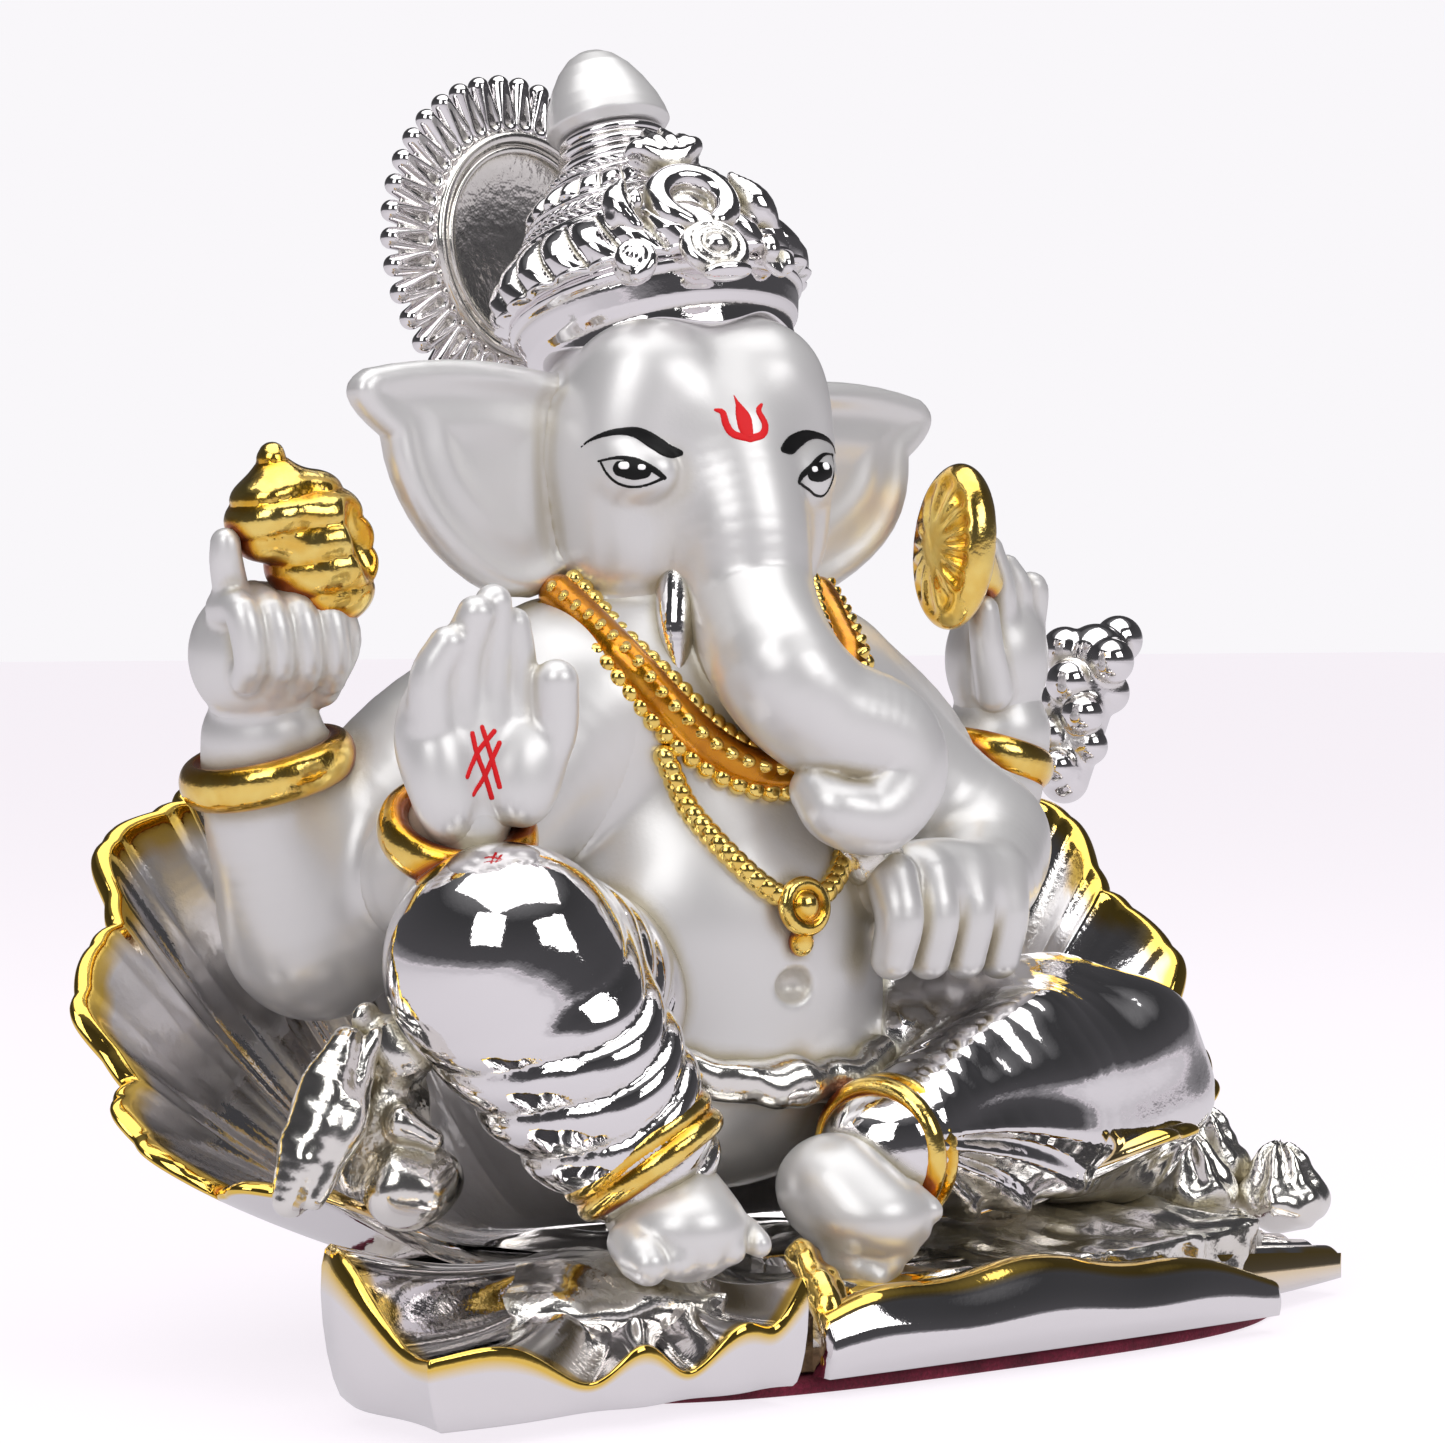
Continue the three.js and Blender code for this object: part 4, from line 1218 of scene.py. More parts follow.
    def groups(self) -> dict[str, Shape]:
        """Every casting of the skin by node name, in the order they join."""
        made: dict[str, Shape] = {"torso": self.torso()}
        made.update(self.arms())
        made["hand_upper_right"] = self.closed_hand()
        made["hand_upper_left"] = self.pinching_hand()
        made["hand_lower_right"] = self.blessing_hand()
        made["hand_lower_left"] = self.resting_hand()
        made["head"] = self.head()
        made["ear_right"] = self.ear(-1)
        made["ear_left"] = self.ear(1)
        made["foot_right"] = self.foot((-25.3, -28.5, 19.4), (-26.1, -36.2, 15.6), (-6, 1.4, -0.3))
        made["foot_left"] = self.foot((-1.6, -25.4, 18.6), (1.6, -31.6, 13.6), (-3.6, 1, -3.0))
        return made


def in_belly(x: float, z: float) -> Array:
    """A point on the front of the belly at x and z."""
    inside = max(0.0, 1 - (x / 20.5) ** 2 - ((z - 44) / 20.5) ** 2)
    return np.array([x, 0.5 - 18 * math.sqrt(inside), z])


@dataclass
class Trousers:
    """The mirror-bright legs with their pleats, the sash and the gold hems."""

    def right(self) -> Shape:
        """The raised right leg: pleats sweep down from the knee to the hem."""
        bulk = Blend([Rod([(-12, 0.5, 35), (-26, -9.5, 40), (-37.5, -18.5, 43)], [11.5, 11.5, 11.6]),
                      Rod([(-37.5, -18.5, 43), (-31.5, -23.5, 32), (-27.5, -27, 25)],
                          [11.6, 10.6, 8.2])], 3.0)
        eye = np.array([-44.0, -22.0, 52.0])

        def pleats(p: Array) -> Array:
            """Height of the pleats, which are rings round the knee."""
            far = np.linalg.norm(p - eye, axis=1)
            fade = step_up(far, 15, 22) * step_up(-p[:, 1], 12, 20)
            wave = np.abs(np.sin(np.pi * (far + 1.2 * np.sin(p[:, 0] * 0.25)) / 4.1))
            return fade * (wave ** 0.7 - 0.6) * 0.95

        return Wrought(bulk, pleats, 0.6)

    def left(self) -> Shape:
        """The folded left leg: pleats run out from the hem and fan under the knee."""
        bulk = Blend([Rod([(12, 0.5, 31), (32, -6, 28), (45.5, -10, 25.2)], [9.5, 11.5, 13.2]),
                      Rod([(45.5, -10, 25.2), (27, -18.5, 24.5), (7, -24, 21.5)], [13.2, 10.8, 7.4])], 3.0)
        hem = np.array([2.0, -23.0, 24.0])

        def pleats(p: Array) -> Array:
            """Height of the pleats, which fan out from the hem."""
            q = p - hem
            far = np.maximum(q[:, 0], 1)
            slope = np.degrees(np.arctan2(-q[:, 2], far)) + 3.0 * np.sin(far * 0.13)
            fade = step_up(slope, -2, 10) * step_up(far, 3, 14) * step_up(-p[:, 1], 8, 16)
            wave = np.sin(np.pi * slope / 5.6)
            near = 1 - 0.5 * step_up(far, 30, 46)
            upper = step_up(slope, -34, -16) * step_up(slope, 10, -2) * step_up(far, 8, 20)
            sweep = 0.3 * upper * np.sin(np.pi * slope / 8)
            return fade * near * wave * 0.62 + sweep + 0.9 * wander(p, 17.0, 51)

        return Wrought(bulk, pleats, 0.8)

    def sash(self) -> Shape:
        """The knotted sash under the belly."""
        return Wrought(Blend([
            Ball((-1, -17.6, 28.6), (4.6, 2.6, 2.6)),
            Rod([(-13, -13.4, 30.6), (-7, -16.3, 29), (7, -16.3, 28.6), (13, -13.4, 30.6)],
                [2, 2.4, 2.4, 2]),
        ], 1.0), lambda p: 0.35 * wander(p, 5.0, 3), 0.4)

    def shapes(self) -> dict[str, Shape]:
        """Each bright piece by node name."""
        return {"leg_right": self.right(), "leg_left": self.left(), "sash": self.sash()}

    def hems(self) -> dict[str, Shape]:
        """The two double-rolled gold hems."""
        shin_r, shin_l = np.array([10, -8.5, -18.0]), np.array([-41, -14, -2.0])
        out = {}
        for name, centre, axis, radius in (("hem_right", (-26.9, -27.6, 24), shin_r, 7.6),
                                           ("hem_left", (6.2, -24, 21.5), shin_l, 7.0)):
            n = unit(axis)
            out[name] = Blend([Hoop(np.array(centre) - n * 1.1, axis, radius, 1.25),
                               Hoop(np.array(centre) + n * 1.1, axis, radius - 0.2, 1.35)], 0.3)
        return out


@dataclass
class Jewels:
    """The gold attributes, bangles, tusks and the sweet in the hand."""

    def conch(self) -> Shape:
        """The conch: a ribbed spiral body, a round crown at its side and an open mouth."""
        c = middle_of("conch")
        body = Blend([
            Ball(c + (2.0, -0.2, -1.4), (6.0, 5.2, 8.6), (0, -18, 0)),
            Ball(c + (-3.8, -0.1, 1.8), (4.3, 4.6, 4.6)),
            Rod([c + (-2.0, 0, 3.0), c + (-3.0, 0.2, 6.6), c + (-3.1, 0.3, 8.2)], [3.9, 2.2, 1.3]),
        ], 1.2)
        axis = unit(np.array([-0.32, 0, 1.0]))

        def whorls(p: Array) -> Array:
            """Height of the spiral ribs."""
            q = p - c
            up = q @ axis
            a = np.arctan2(q[:, 1], q[:, 0])
            return 0.55 * (np.abs(np.sin(np.pi * (up / 3.4 + a / (2 * np.pi)))) ** 0.6 - 0.6)

        mouth = Ball(c + (5.4, -4.6, -0.4), (2.0, 2.4, 4.6), (0, -22, 0))
        return Carved(Wrought(body, whorls, 0.4), [mouth], 0.8)

    def disc(self) -> Shape:
        """The war disc seen on edge: a thick rim round a ridged face, with a knob."""
        c = middle_of("gold_disc") - (2.2, 0, 0)
        body = Ball(c, (4.1, 6.0, 9.7), (0, 6, 0))

        def ridges(p: Array) -> Array:
            """Height of the rays on the sunk face."""
            q = p - c
            far = np.hypot(q[:, 1] * 1.6, q[:, 2])
            face = step_up(far, 8.6, 7.0)
            spin = np.arctan2(q[:, 2], q[:, 1])
            return 0.22 * face * np.sin(14 * spin) * step_up(far, 2.0, 5.0) - 0.5 * face

        return Blend([Wrought(body, ridges, 0.6), Ball(c + (6.4, 2, 3.6), (2.1, 2.1, 2.1)),
                      Rod([c + (2, 0, -1), c + (6, 2, -4)], [3.2, 2.3])], 0.5)

    def bangles(self) -> dict[str, Shape]:
        """Three smooth bangles, deeper than they are thick."""
        places = {"bangle_upper_right": ((-47.5, 12.5, 62), (-0.3, -0.05, 1), 7.8),
                  "bangle_upper_left": ((50, 13, 61), (0.3, 0, 1), 6.0),
                  "bangle_lower_right": ((-38.5, -11, 56), (-0.15, -0.5, 0.8), 6.6)}
        return {n: Hoop(c, a, r, 1.7, 0.72) for n, (c, a, r) in places.items()}

    def tusks(self) -> dict[str, Shape]:
        """Two short tusks."""
        return {f"tusk_{word}": Rod([in_face(s * 6.0 + 0.8, -11.0, 4.5), in_face(s * 7.4 + 0.8, -13.4, -1.0),
                                     in_face(s * 7.8 + 0.8, -14.4, -5.6)], [2.5, 2.1, 0.8], 6)
                for s, word in ((-1, "right"), (1, "left"))}

    def cluster(self) -> Shape:
        """The cluster of buds that hangs behind the left hand."""
        c = middle_of("bud_cluster")
        top = c + (2.4, 0, 6.8)
        parts: list[Shape] = [Rod([top, top + (-5, 0, -15)], [4, 3])]
        turn = math.pi * (3 - math.sqrt(5))
        for i in range(13):
            drop, out = i / 12 * 15.5, 3.6 - 0.1 * i
            size = 3.0 - 0.06 * i
            aside = (-drop / 3 + out * math.cos(i * turn), out * math.sin(i * turn), 2 - drop)
            parts.append(Ball(top + aside, (size, size, size)))
        return Blend(parts, 0.5)

    def shapes(self) -> dict[str, Shape]:
        """Each piece by node name."""
        made = {"conch": self.conch(), "gold_disc": self.disc(), "bud_cluster": self.cluster(),
                "sweet_in_hand": Wrought(Ball(middle_of("sweet_in_hand"), (4.1, 3.8, 3.8)),
                                         lambda p: 0.3 * wander(p, 3.0, 8), 0.4)}
        made.update(self.bangles())
        made.update(self.tusks())
        return made


@dataclass
class Mound(Shape):
    """A low rounded oblong between two corners, cut flat at its foot."""

    low: Array
    high: Array
    corner: float = 3.4

    def at(self, p: Array) -> Array:
        """Distance at each point."""
        middle, half = (self.low + self.high) / 2, (self.high - self.low) / 2
        q = np.abs((p - middle) / half)
        out = (q[:, 0] ** self.corner + q[:, 1] ** self.corner) ** (1 / self.corner)
        side = (out - 1) * half[1] * 0.9
        return np.maximum.reduce([side, self.low[2] - p[:, 2], p[:, 2] - self.high[2] - 0.6])

    def reach(self) -> Box:
        """A box that holds the mound."""
        return self.low - 0.5, self.high + 1.5


@dataclass
class Beside:
    """The mouse, its leaf, the heap of sweets, the ribbon and the seat under them."""

    def mouse(self) -> Shape:
        """The crouching mouse, roughly cast."""
        c = np.array([-45.0, -7.0, 25.5])
        body = Blend([Ball(c, (5.2, 4.6, 8), (11, 6, 0)), Ball(c + (0.6, -2.6, 8.6), (3.8, 4.4, 3.6)),
                      Ball(c + (-2.6, -1, 11.6), (1.8, 1, 1.9)), Ball(c + (3.4, -1, 11.4), (1.8, 1, 1.9)),
                      Ball(c + (0.4, -5, -5), (5.6, 4.4, 4.4)),
                      Rod([c + (-1.5, -6, 2), c + (1.0, -8.0, 0)], [1.6, 1.2])], 1.2)
        return Wrought(body, lambda p: 0.4 * wander(p, 6.0, 11), 0.6)

    def leaf(self) -> Shape:
        """The folded leaf beside the mouse."""
        c = middle_of("mouse_leaf")
        spine = [c + (-4.6, -1.4, -7.4), c + (-1.6, -0.6, -2.4), c + (1.4, 0.6, 3.0), c + (4.2, 1.8, 8.0)]
        body = Blend([Rod(spine, [1.5, 3.0, 3.2, 1.6], 5),
                      Rod([q + (2.2, -1.6, 0.4) for q in spine], [0.9, 1.5, 1.6, 0.9], 5)], 0.5)
        return Wrought(body, lambda p: 0.4 * wander(p, 5.0, 12), 0.5)

    def sweet(self, node: str, seed: int) -> Shape:
        """One pleated sweet, flattened below and drawn to a point."""
        c = middle_of(node)

        def folds(p: Array) -> Array:
            """Height of the pinched folds."""
            q = p - c
            spin = np.arctan2(q[:, 1], q[:, 0])
            pinch = np.sin(7 * spin + 0.3 * q[:, 2]) * step_up(q[:, 2], -4, 1)
            return 0.4 * pinch + 0.2 * wander(p, 3.0, seed)

        foot, point = Ball(c + (0, 0, -1.4), (5.6, 5.6, 3.7)), Ball(c + (0, 0, 0.8), (3.6, 3.6, 4.6))
        return Wrought(Blend([foot, point], 1.5), folds, 0.6)

    def ribbon(self) -> Shape:
        """The ribbon that comes over the front edge."""
        wide = Rod([(-10, -31, 13.0), (-11.0, -35.8, 10.0), (-11.4, -38.4, 6.6), (-11.6, -38.8, 3.4)],
                   [1.5, 1.6, 1.5, 1.3])
        slim = Rod([(-8.6, -31.0, 12.5), (-9.2, -35.6, 9.8), (-9.6, -38.0, 6.4)], [1.1, 1.2, 1.1])
        return Wrought(Blend([wide, slim], 0.5), lambda p: 0.25 * wander(p, 3.0, 14), 0.3)

    def seat(self) -> Shape:
        """The crumpled ground that the figure sits on."""
        low, high = node_box("seat_block")
        low, high = low - AXIS, high - AXIS
        ground = Blend([Mound(low - (4.6, 1.0, 2.2), high + (4.6, 0, 0)),
                        Ball((-30, -20, 9.0), (16, 11, 4.5)), Ball((30, -12, 9), (26, 14, 3.6))], 2.0)
        return Wrought(ground, lambda p: 0.5 * wander(p, 9.0, 21) + 0.15 * wander(p, 3.5, 22), 0.9)

    def shapes(self) -> dict[str, Shape]:
        """Each piece by node name."""
        made = {"mouse": self.mouse(), "mouse_leaf": self.leaf(), "ribbon": self.ribbon(),
                "seat_block": self.seat()}
        for i in range(3):
            made[f"sweet_{i + 1}"] = self.sweet(f"sweet_{i + 1}", 31 + i)
        return made


# ---- what lies on the skin
def laid_on(skin: Shape, points: Array, ahead: Array, lift: float = 0.0) -> Array:
    """Moves points along a direction until they meet a skin.

    Args:
        skin: the solid they come to rest on.
        points: where they start, outside it.
        ahead: the unit direction they move in.
        lift: how far short of the skin they stop, in mm.
    Returns:
        The points at rest.
    """
    p = np.array(points, float)
    for _ in range(70):
        p = p + np.clip(skin.at(p) - lift, -1.5, 1.5)[:, None] * 0.8 * ahead
    return p


@dataclass
class Painted(Shape):
    """A film of paint on a skin, where a brush stroke covers it."""

    skin: Shape
    stroke: Shape
    film: float = 0.09

    def at(self, p: Array) -> Array:
        """Distance at each point."""
        d = self.skin.at(p)
        return np.maximum.reduce([self.stroke.at(p), d - self.film, -d - 0.35])

    def reach(self) -> Box:
        """A box that holds the stroke."""
        return self.stroke.reach()


def on_skin(skin: Shape, points: Array) -> Array:
    """Points carried to the nearest place on a skin."""
    p = np.array(points, float)
    for _ in range(12):
        p = p - skin.at(p)[:, None] * unit(gradient(skin, p))
    return p


def hollows_of(points: Array, normals: Array, whole: Shape) -> Array:
    """How deep each point lies between its neighbours, from 0, open, to 1.

    Args:
        points: the skin's points.
        normals: its normals.
        whole: everything that stands around them.
    Returns:
        One share for each point.
    """
    # This share measures how closed in each point is by its neighbours; the finishes paint it as shade.
    total = np.zeros(len(points))
    for h, weight in ((1.1, 0.45), (2.6, 0.55)):
        total += weight * np.clip(1 - distances(whole, points + normals * h, h + 1.5) / h, 0, 1.4)
    return np.clip(total, 0, 1)


def mesh_hollows(skin: Skin, rounds: int = 10, depth: float = 0.5) -> Skin:
    """Marks the hollows of a mesh, where it lies below the average round it.

    Args:
        skin: the mesh.
        rounds: how often the average is taken.
        depth: how far below it a full hollow lies, in mm.
    Returns:
        The marked skin.
    """
    p, q = skin.points, skin.points
    ring = Neighbours(skin.quads, len(p))
    for _ in range(rounds):
        q = ring.mean(q)
    n = np.zeros_like(p)
    a, b, c, d = (p[skin.quads[:, k]] for k in range(4))
    face = np.cross(c - a, d - b)
    for k in range(4):
        for axis in range(3):
            n[:, axis] += np.bincount(skin.quads[:, k], face[:, axis], len(p))
    # The finishes paint this mark as shade in the hollows.
    skin.marks["hollow"] = np.clip(np.sum((q - p) * unit(n), axis=1) / depth, 0, 1)
    return skin


# ---- forms repeated along a path
@dataclass
class Strung:
    """Copies of one small form along a path, made with Geometry Nodes."""

    name: str
    finish: Finish
    count: int
    size: float = 1.0
    closed: bool = False

    def tree(self) -> tuple[Tree, dict[str, str]]:
        """Builds the node tree.

        Returns:
            The tree, and each named input's identifier.
        """
        tree = bpy.data.node_groups.new(self.name + "_strung", "GeometryNodeTree")
        face = tree.interface
        face.new_socket("Geometry", in_out="INPUT", socket_type="NodeSocketGeometry")
        face.new_socket("Geometry", in_out="OUTPUT", socket_type="NodeSocketGeometry")
        ids = {}
        for label, kind in (("Count", "Int"), ("Size", "Float"), ("Form", "Object")):
            ids[label] = face.new_socket(label, in_out="INPUT", socket_type="NodeSocket" + kind).identifier
        given = add_node(tree, "NodeGroupInput").outputs
        line = add_node(tree, "GeometryNodeMeshToCurve", inputs={"Mesh": given["Geometry"]}).outputs["Curve"]
        even = add_node(tree, "GeometryNodeResampleCurve", {"mode": "COUNT"}, {
            "Curve": line, "Count": given["Count"]}).outputs["Curve"]
        form = add_node(tree, "GeometryNodeObjectInfo", inputs={
            "Object": given["Form"], "As Instance": True}).outputs["Geometry"]
        way = add_node(tree, "GeometryNodeInputTangent").outputs["Tangent"]
        spin = add_node(tree, "FunctionNodeAlignRotationToVector", {"axis": "X"}, {"Vector": way}).outputs[0]
        copies = add_node(tree, "GeometryNodeInstanceOnPoints", inputs={
            "Points": even, "Instance": form, "Rotation": spin, "Scale": given["Size"]}).outputs[0]
        real = add_node(tree, "GeometryNodeRealizeInstances", inputs={"Geometry": copies}).outputs[0]
        done = add_node(tree, "GeometryNodeSetMaterial", inputs={
            "Geometry": real, "Material": self.finish.material()}).outputs[0]
        add_node(tree, "NodeGroupOutput", inputs={"Geometry": done})
        return tree, ids

    def along(self, path: Array, form: Skin) -> Skin:
        """Strings the form along a path.

        Args:
            path: points in mm, in the figure's frame.
            form: the form round its own origin, X along the path.
        Returns:
            All copies as one skin in the figure's frame.
        """
        line = bpy.data.meshes.new(self.name + "_path")
        n = len(path)
        edges = [(i, i + 1) for i in range(n - 1)] + ([(n - 1, 0)] if self.closed else [])
        line.from_pydata((path * MM).tolist(), edges, [])
        carrier = bpy.data.objects.new(self.name + "_path", line)
        bead = object_from(Skin(form.points - AXIS, form.quads, form.tris, None, form.marks),
                           self.name + "_form", self.finish)
        bpy.context.scene.collection.objects.link(carrier)
        tree, ids = self.tree()
        modifier = carrier.modifiers.new("strung", "NODES")
        modifier.node_group = tree
        modifier[ids["Count"]] = self.count
        modifier[ids["Size"]] = self.size
        modifier[ids["Form"]] = bead
        depsgraph = bpy.context.evaluated_depsgraph_get()
        made = bpy.data.meshes.new_from_object(carrier.evaluated_get(depsgraph), depsgraph=depsgraph)
        points = np.empty(len(made.vertices) * 3)
        made.vertices.foreach_get("co", points)
        corners = np.empty(len(made.loops), np.int32)
        made.loops.foreach_get("vertex_index", corners)
        sizes = np.empty(len(made.polygons), np.int32)
        made.polygons.foreach_get("loop_total", sizes)
        starts = np.concatenate([[0], np.cumsum(sizes)[:-1]])
        fours, threes = starts[sizes == 4], starts[sizes == 3]
        marks = {}
        for mark in ("hollow", "gilt"):
            values = np.zeros(len(made.vertices))
            if mark in made.attributes:
                made.attributes[mark].data.foreach_get("value", values)
            marks[mark] = values
        out = Skin(points.reshape(-1, 3) / MM, corners[fours[:, None] + np.arange(4)],
                   corners[threes[:, None] + np.arange(3)], None, marks)
        for thing in (carrier, bead):
            bpy.data.objects.remove(thing)
        return out


# ---- crown and halo
CROWN_TURN = HEAD_TURN @ turn_about("X", -20.0)
CROWN_AT = in_head(0, 1.8, 29.72)
CROWN_FACING = -0.3
HALO_TURN = HEAD_TURN @ turn_about("X", 86.0)
HALO_AT = in_head(0, 28, 41.93)


@dataclass(frozen=True)
class Moulding:
    """A band of lobes round a turned form: between two heights, swelling by bulge."""

    low: float
    high: float
    bulge: float
    lobes: int = 0
    depth: float = 0.0
    twist: float = 0.0

    def swell(self, a: Array, h: Array) -> Array:
        """How far the band stands out at an angle and a height."""
        s = (2 * h - self.low - self.high) / (self.high - self.low)
        dome = np.sqrt(np.clip(1 - s * s, 0, 1))
        lobe = np.abs(np.cos(self.lobes / 2 * (a + self.twist * s))) ** 0.7 if self.lobes else 1.0
        return self.bulge * dome * (1 - self.depth + self.depth * lobe)


@dataclass
class Crown:
    """The tall crown: polished band, gadrooned bowl, rope and bead tiers, neck and cone."""

    flatten: float = 15.5 / 18
    around: int = 432

    def turned(self, core: Sequence[tuple[float, float]], mouldings: Sequence[Moulding],
               rows: int, edge: Callable[[Array], Array] | None = None) -> Skin:
        """A turned form with mouldings.

        Args:
            core: (height, radius) pairs, low to high.
            mouldings: the bands on it.
            rows: how many rings make its side.
            edge: how far its lower edge rises at each angle.
        Returns:
            The skin in the figure's frame.
        """
        heights = np.array([h for h, _ in core])
        radii = np.array([r for _, r in core])
        around = self.around // 1
        a = np.arange(around) / around * 2 * math.pi
        rings = []
        for share in np.linspace(0, 1, rows):
            h = heights[0] + share * (heights[-1] - heights[0])
            up = np.full_like(a, h)
            if edge is not None:
                up = up + edge(a) * (1 - share) ** 1.5
            r = np.interp(up, heights, radii)
            for band in mouldings:
                r = r + band.swell(a, up)
            rings.append(np.stack([r * np.cos(a), r * np.sin(a) * self.flatten, up], 1))
        lowest, highest = rings[0].copy(), rings[-1].copy()
        for ring in (lowest, highest):
            ring[:, :2] *= 0.93
        rows_all = np.stack([lowest * (0.5, 0.5, 1), lowest, *rings, highest, highest * (0.5, 0.5, 1)])
        skin = mesh_hollows(outward(sheet_skin(rows_all)), 8, 0.35)
        return skin.moved(CROWN_TURN, CROWN_AT)

    def rings(self) -> dict[str, Skin]:
        """The five stacked castings by node name."""

        def wavy(a: Array) -> Array:
            """Rise of the band's edge, which dips over the trunk between two arches."""
            front = np.abs((a + math.pi / 2 - CROWN_FACING + math.pi) % (2 * math.pi) - math.pi)
            dip = step_up(front, 1.5, 0.8)
            return 1.6 * np.exp(-(((front - 0.5) / 0.3) ** 2)) - 2.4 * dip

        band = self.turned([(-0.5, 15.4), (0.6, 16.4), (2.6, 17.0), (4.6, 17.2)],
                           [Moulding(3.2, 4.6, 0.7)], 30, wavy)
        bowl = self.turned(
            [(4.3, 17.0), (5.4, 17.8), (7.5, 17.6), (9.5, 16.6), (11.4, 15.4), (12.5, 14.2)],
            [Moulding(4.6, 11.6, 1.8, 24, 0.95, 0.1), Moulding(4.4, 5.4, 0.8), Moulding(11.5, 12.6, 0.8)], 70)
        tiers = self.turned(
            [(12.7, 13.6), (15.2, 12.4), (17.4, 10.6), (20.3, 8.3)],
            [Moulding(12.7, 13.9, 1.0, 64, 0.5, 0.06), Moulding(13.9, 14.9, 0.7, 64, 0.5, -0.06),
             Moulding(14.9, 15.7, 0.55), Moulding(15.6, 18.3, 1.5, 26, 0.85),
             Moulding(18.3, 19.1, 0.6), Moulding(19.1, 20.3, 0.8, 44, 0.5, 0.08)], 100)
        neck = self.turned(
            [(20.5, 6.2), (25.3, 5.4)],
            [Moulding(20.5, 22.2, 1.5), Moulding(22.2, 23.8, 1.3), Moulding(23.8, 25.3, 1.0)], 50)
        finial = self.turned([(25.4, 6.6), (26.4, 7.5), (27.6, 7.3), (29.2, 6.8), (31.4, 5.7), (33.2, 4.5),
                              (34.6, 3.1), (35.4, 1.7), (35.6, 0.3)], [], 64)
        return {"crown_band": band, "crown_bowl": bowl, "crown_tiers": tiers, "crown_neck": neck,
                "crown_finial": finial}

    def facing(self, turn: float) -> Array:
        """The frame of an ornament on the crown's front: -Y faces out, Z goes up."""
        return CROWN_TURN @ turn_about("Z", math.degrees(turn)) @ turn_about("X", -14)

    def ornaments(self) -> dict[str, Shape]:
        """The castings on the crown's front by node name."""
        medallion = Blend([
            Carved(Ball((0, 0, 0), (4.1, 1.7, 3.7)), [Ball((0, -1.5, 0), (3.3, 1.4, 2.9))], 0.3),
            Carved(Ball((0, -0.2, 0), (2.9, 1.6, 2.5)), [Ball((0, -1.6, 0), (2.2, 1.1, 1.8))], 0.3),
            Ball((0, -0.4, 0), (1.7, 1.4, 1.4)), Ball((0, -0.6, -3.6), (3.0, 1.4, 0.9))], 0.15)
        sweep = np.radians(np.linspace(-62, 242, 11))
        arch = Blend([Rod([(4.0 * math.cos(t), 0.4 * math.sin(t), 3.6 * math.sin(t)) for t in sweep],
                          [1.3] + [1.55] * 9 + [1.3], 3), Ball((0, 1.6, 0), (3.6, 1.2, 3.4))], 0.2)
        ribs = [Rod([(0, 0.2, -2.6), (x * 0.7, -0.7, 0.2), (x, 0.4, z)], [0.8, 1.15, 0.5], 4)
                for x, z in ((-4.3, 0.4), (-2.9, 2.4), (-1.0, 3.3), (1.0, 3.3), (2.9, 2.4), (4.3, 0.4))]
        hood = Blend([Ball((0, 0.8, 0), (4.4, 1.5, 3.0)), *ribs], 0.25)

        def spiral(side: int, turns: float, size: float) -> Shape:
            """A wire coiled flat towards its middle."""
            t = np.linspace(0, 1, 22)
            r = size * (1 - 0.85 * t)
            a = side * (t * turns * 2 * math.pi) - math.pi / 2
            return Rod(np.stack([r * np.cos(a), -0.5 - 0.4 * t, r * np.sin(a)], 1), list(0.85 - 0.3 * t), 1)

        scroll_r = Blend([spiral(1, 1.6, 2.1), Ball((0, 0.6, 0), (2.4, 0.9, 2.4))], 0.2)
        scroll_l = Blend([Ball((-1.0, 0, 0.8), (1.2, 1.3, 1.7), (0, 20, 0)),
                          Ball((1.2, 0.2, -0.6), (1.1, 1.2, 1.6), (0, 20, 0)),
                          Ball((0, 0.8, 0), (2.2, 0.8, 2.4))], 0.3)
        flame_r = Blend([Rod([(0.8, 0, -3.0), (-0.6, -0.4, 0), (0.6, 0, 3.0)], [1.0, 1.6, 0.5], 5),
                         Ball((-1.3, -0.3, -1.6), (0.9, 1.0, 1.3)),
                         Ball((1.6, -0.3, 0.2), (0.8, 0.9, 1.3))], 0.3)
        flame_l = Blend([Rod([(1.6, 0.4, -3.0), (-0.2, -0.2, -0.6), (-1.2, 0, 3.2)],
                             [1.5, 2.1, 0.5], 5)], 0.3)
        drawn = {"crown_medallion": (medallion, 0.0), "crown_arch": (arch, 0.0),
                 "crown_top_leaf": (hood, 0.0),
                 "crown_scroll_right": (scroll_r, -0.5), "crown_scroll_left": (scroll_l, 0.5),
                 "crown_flame_right": (flame_r, -0.5), "crown_flame_left": (flame_l, 0.5)}
        return {n: Placed(s, self.facing(CROWN_FACING + t), middle_of(n)) for n, (s, t) in drawn.items()}


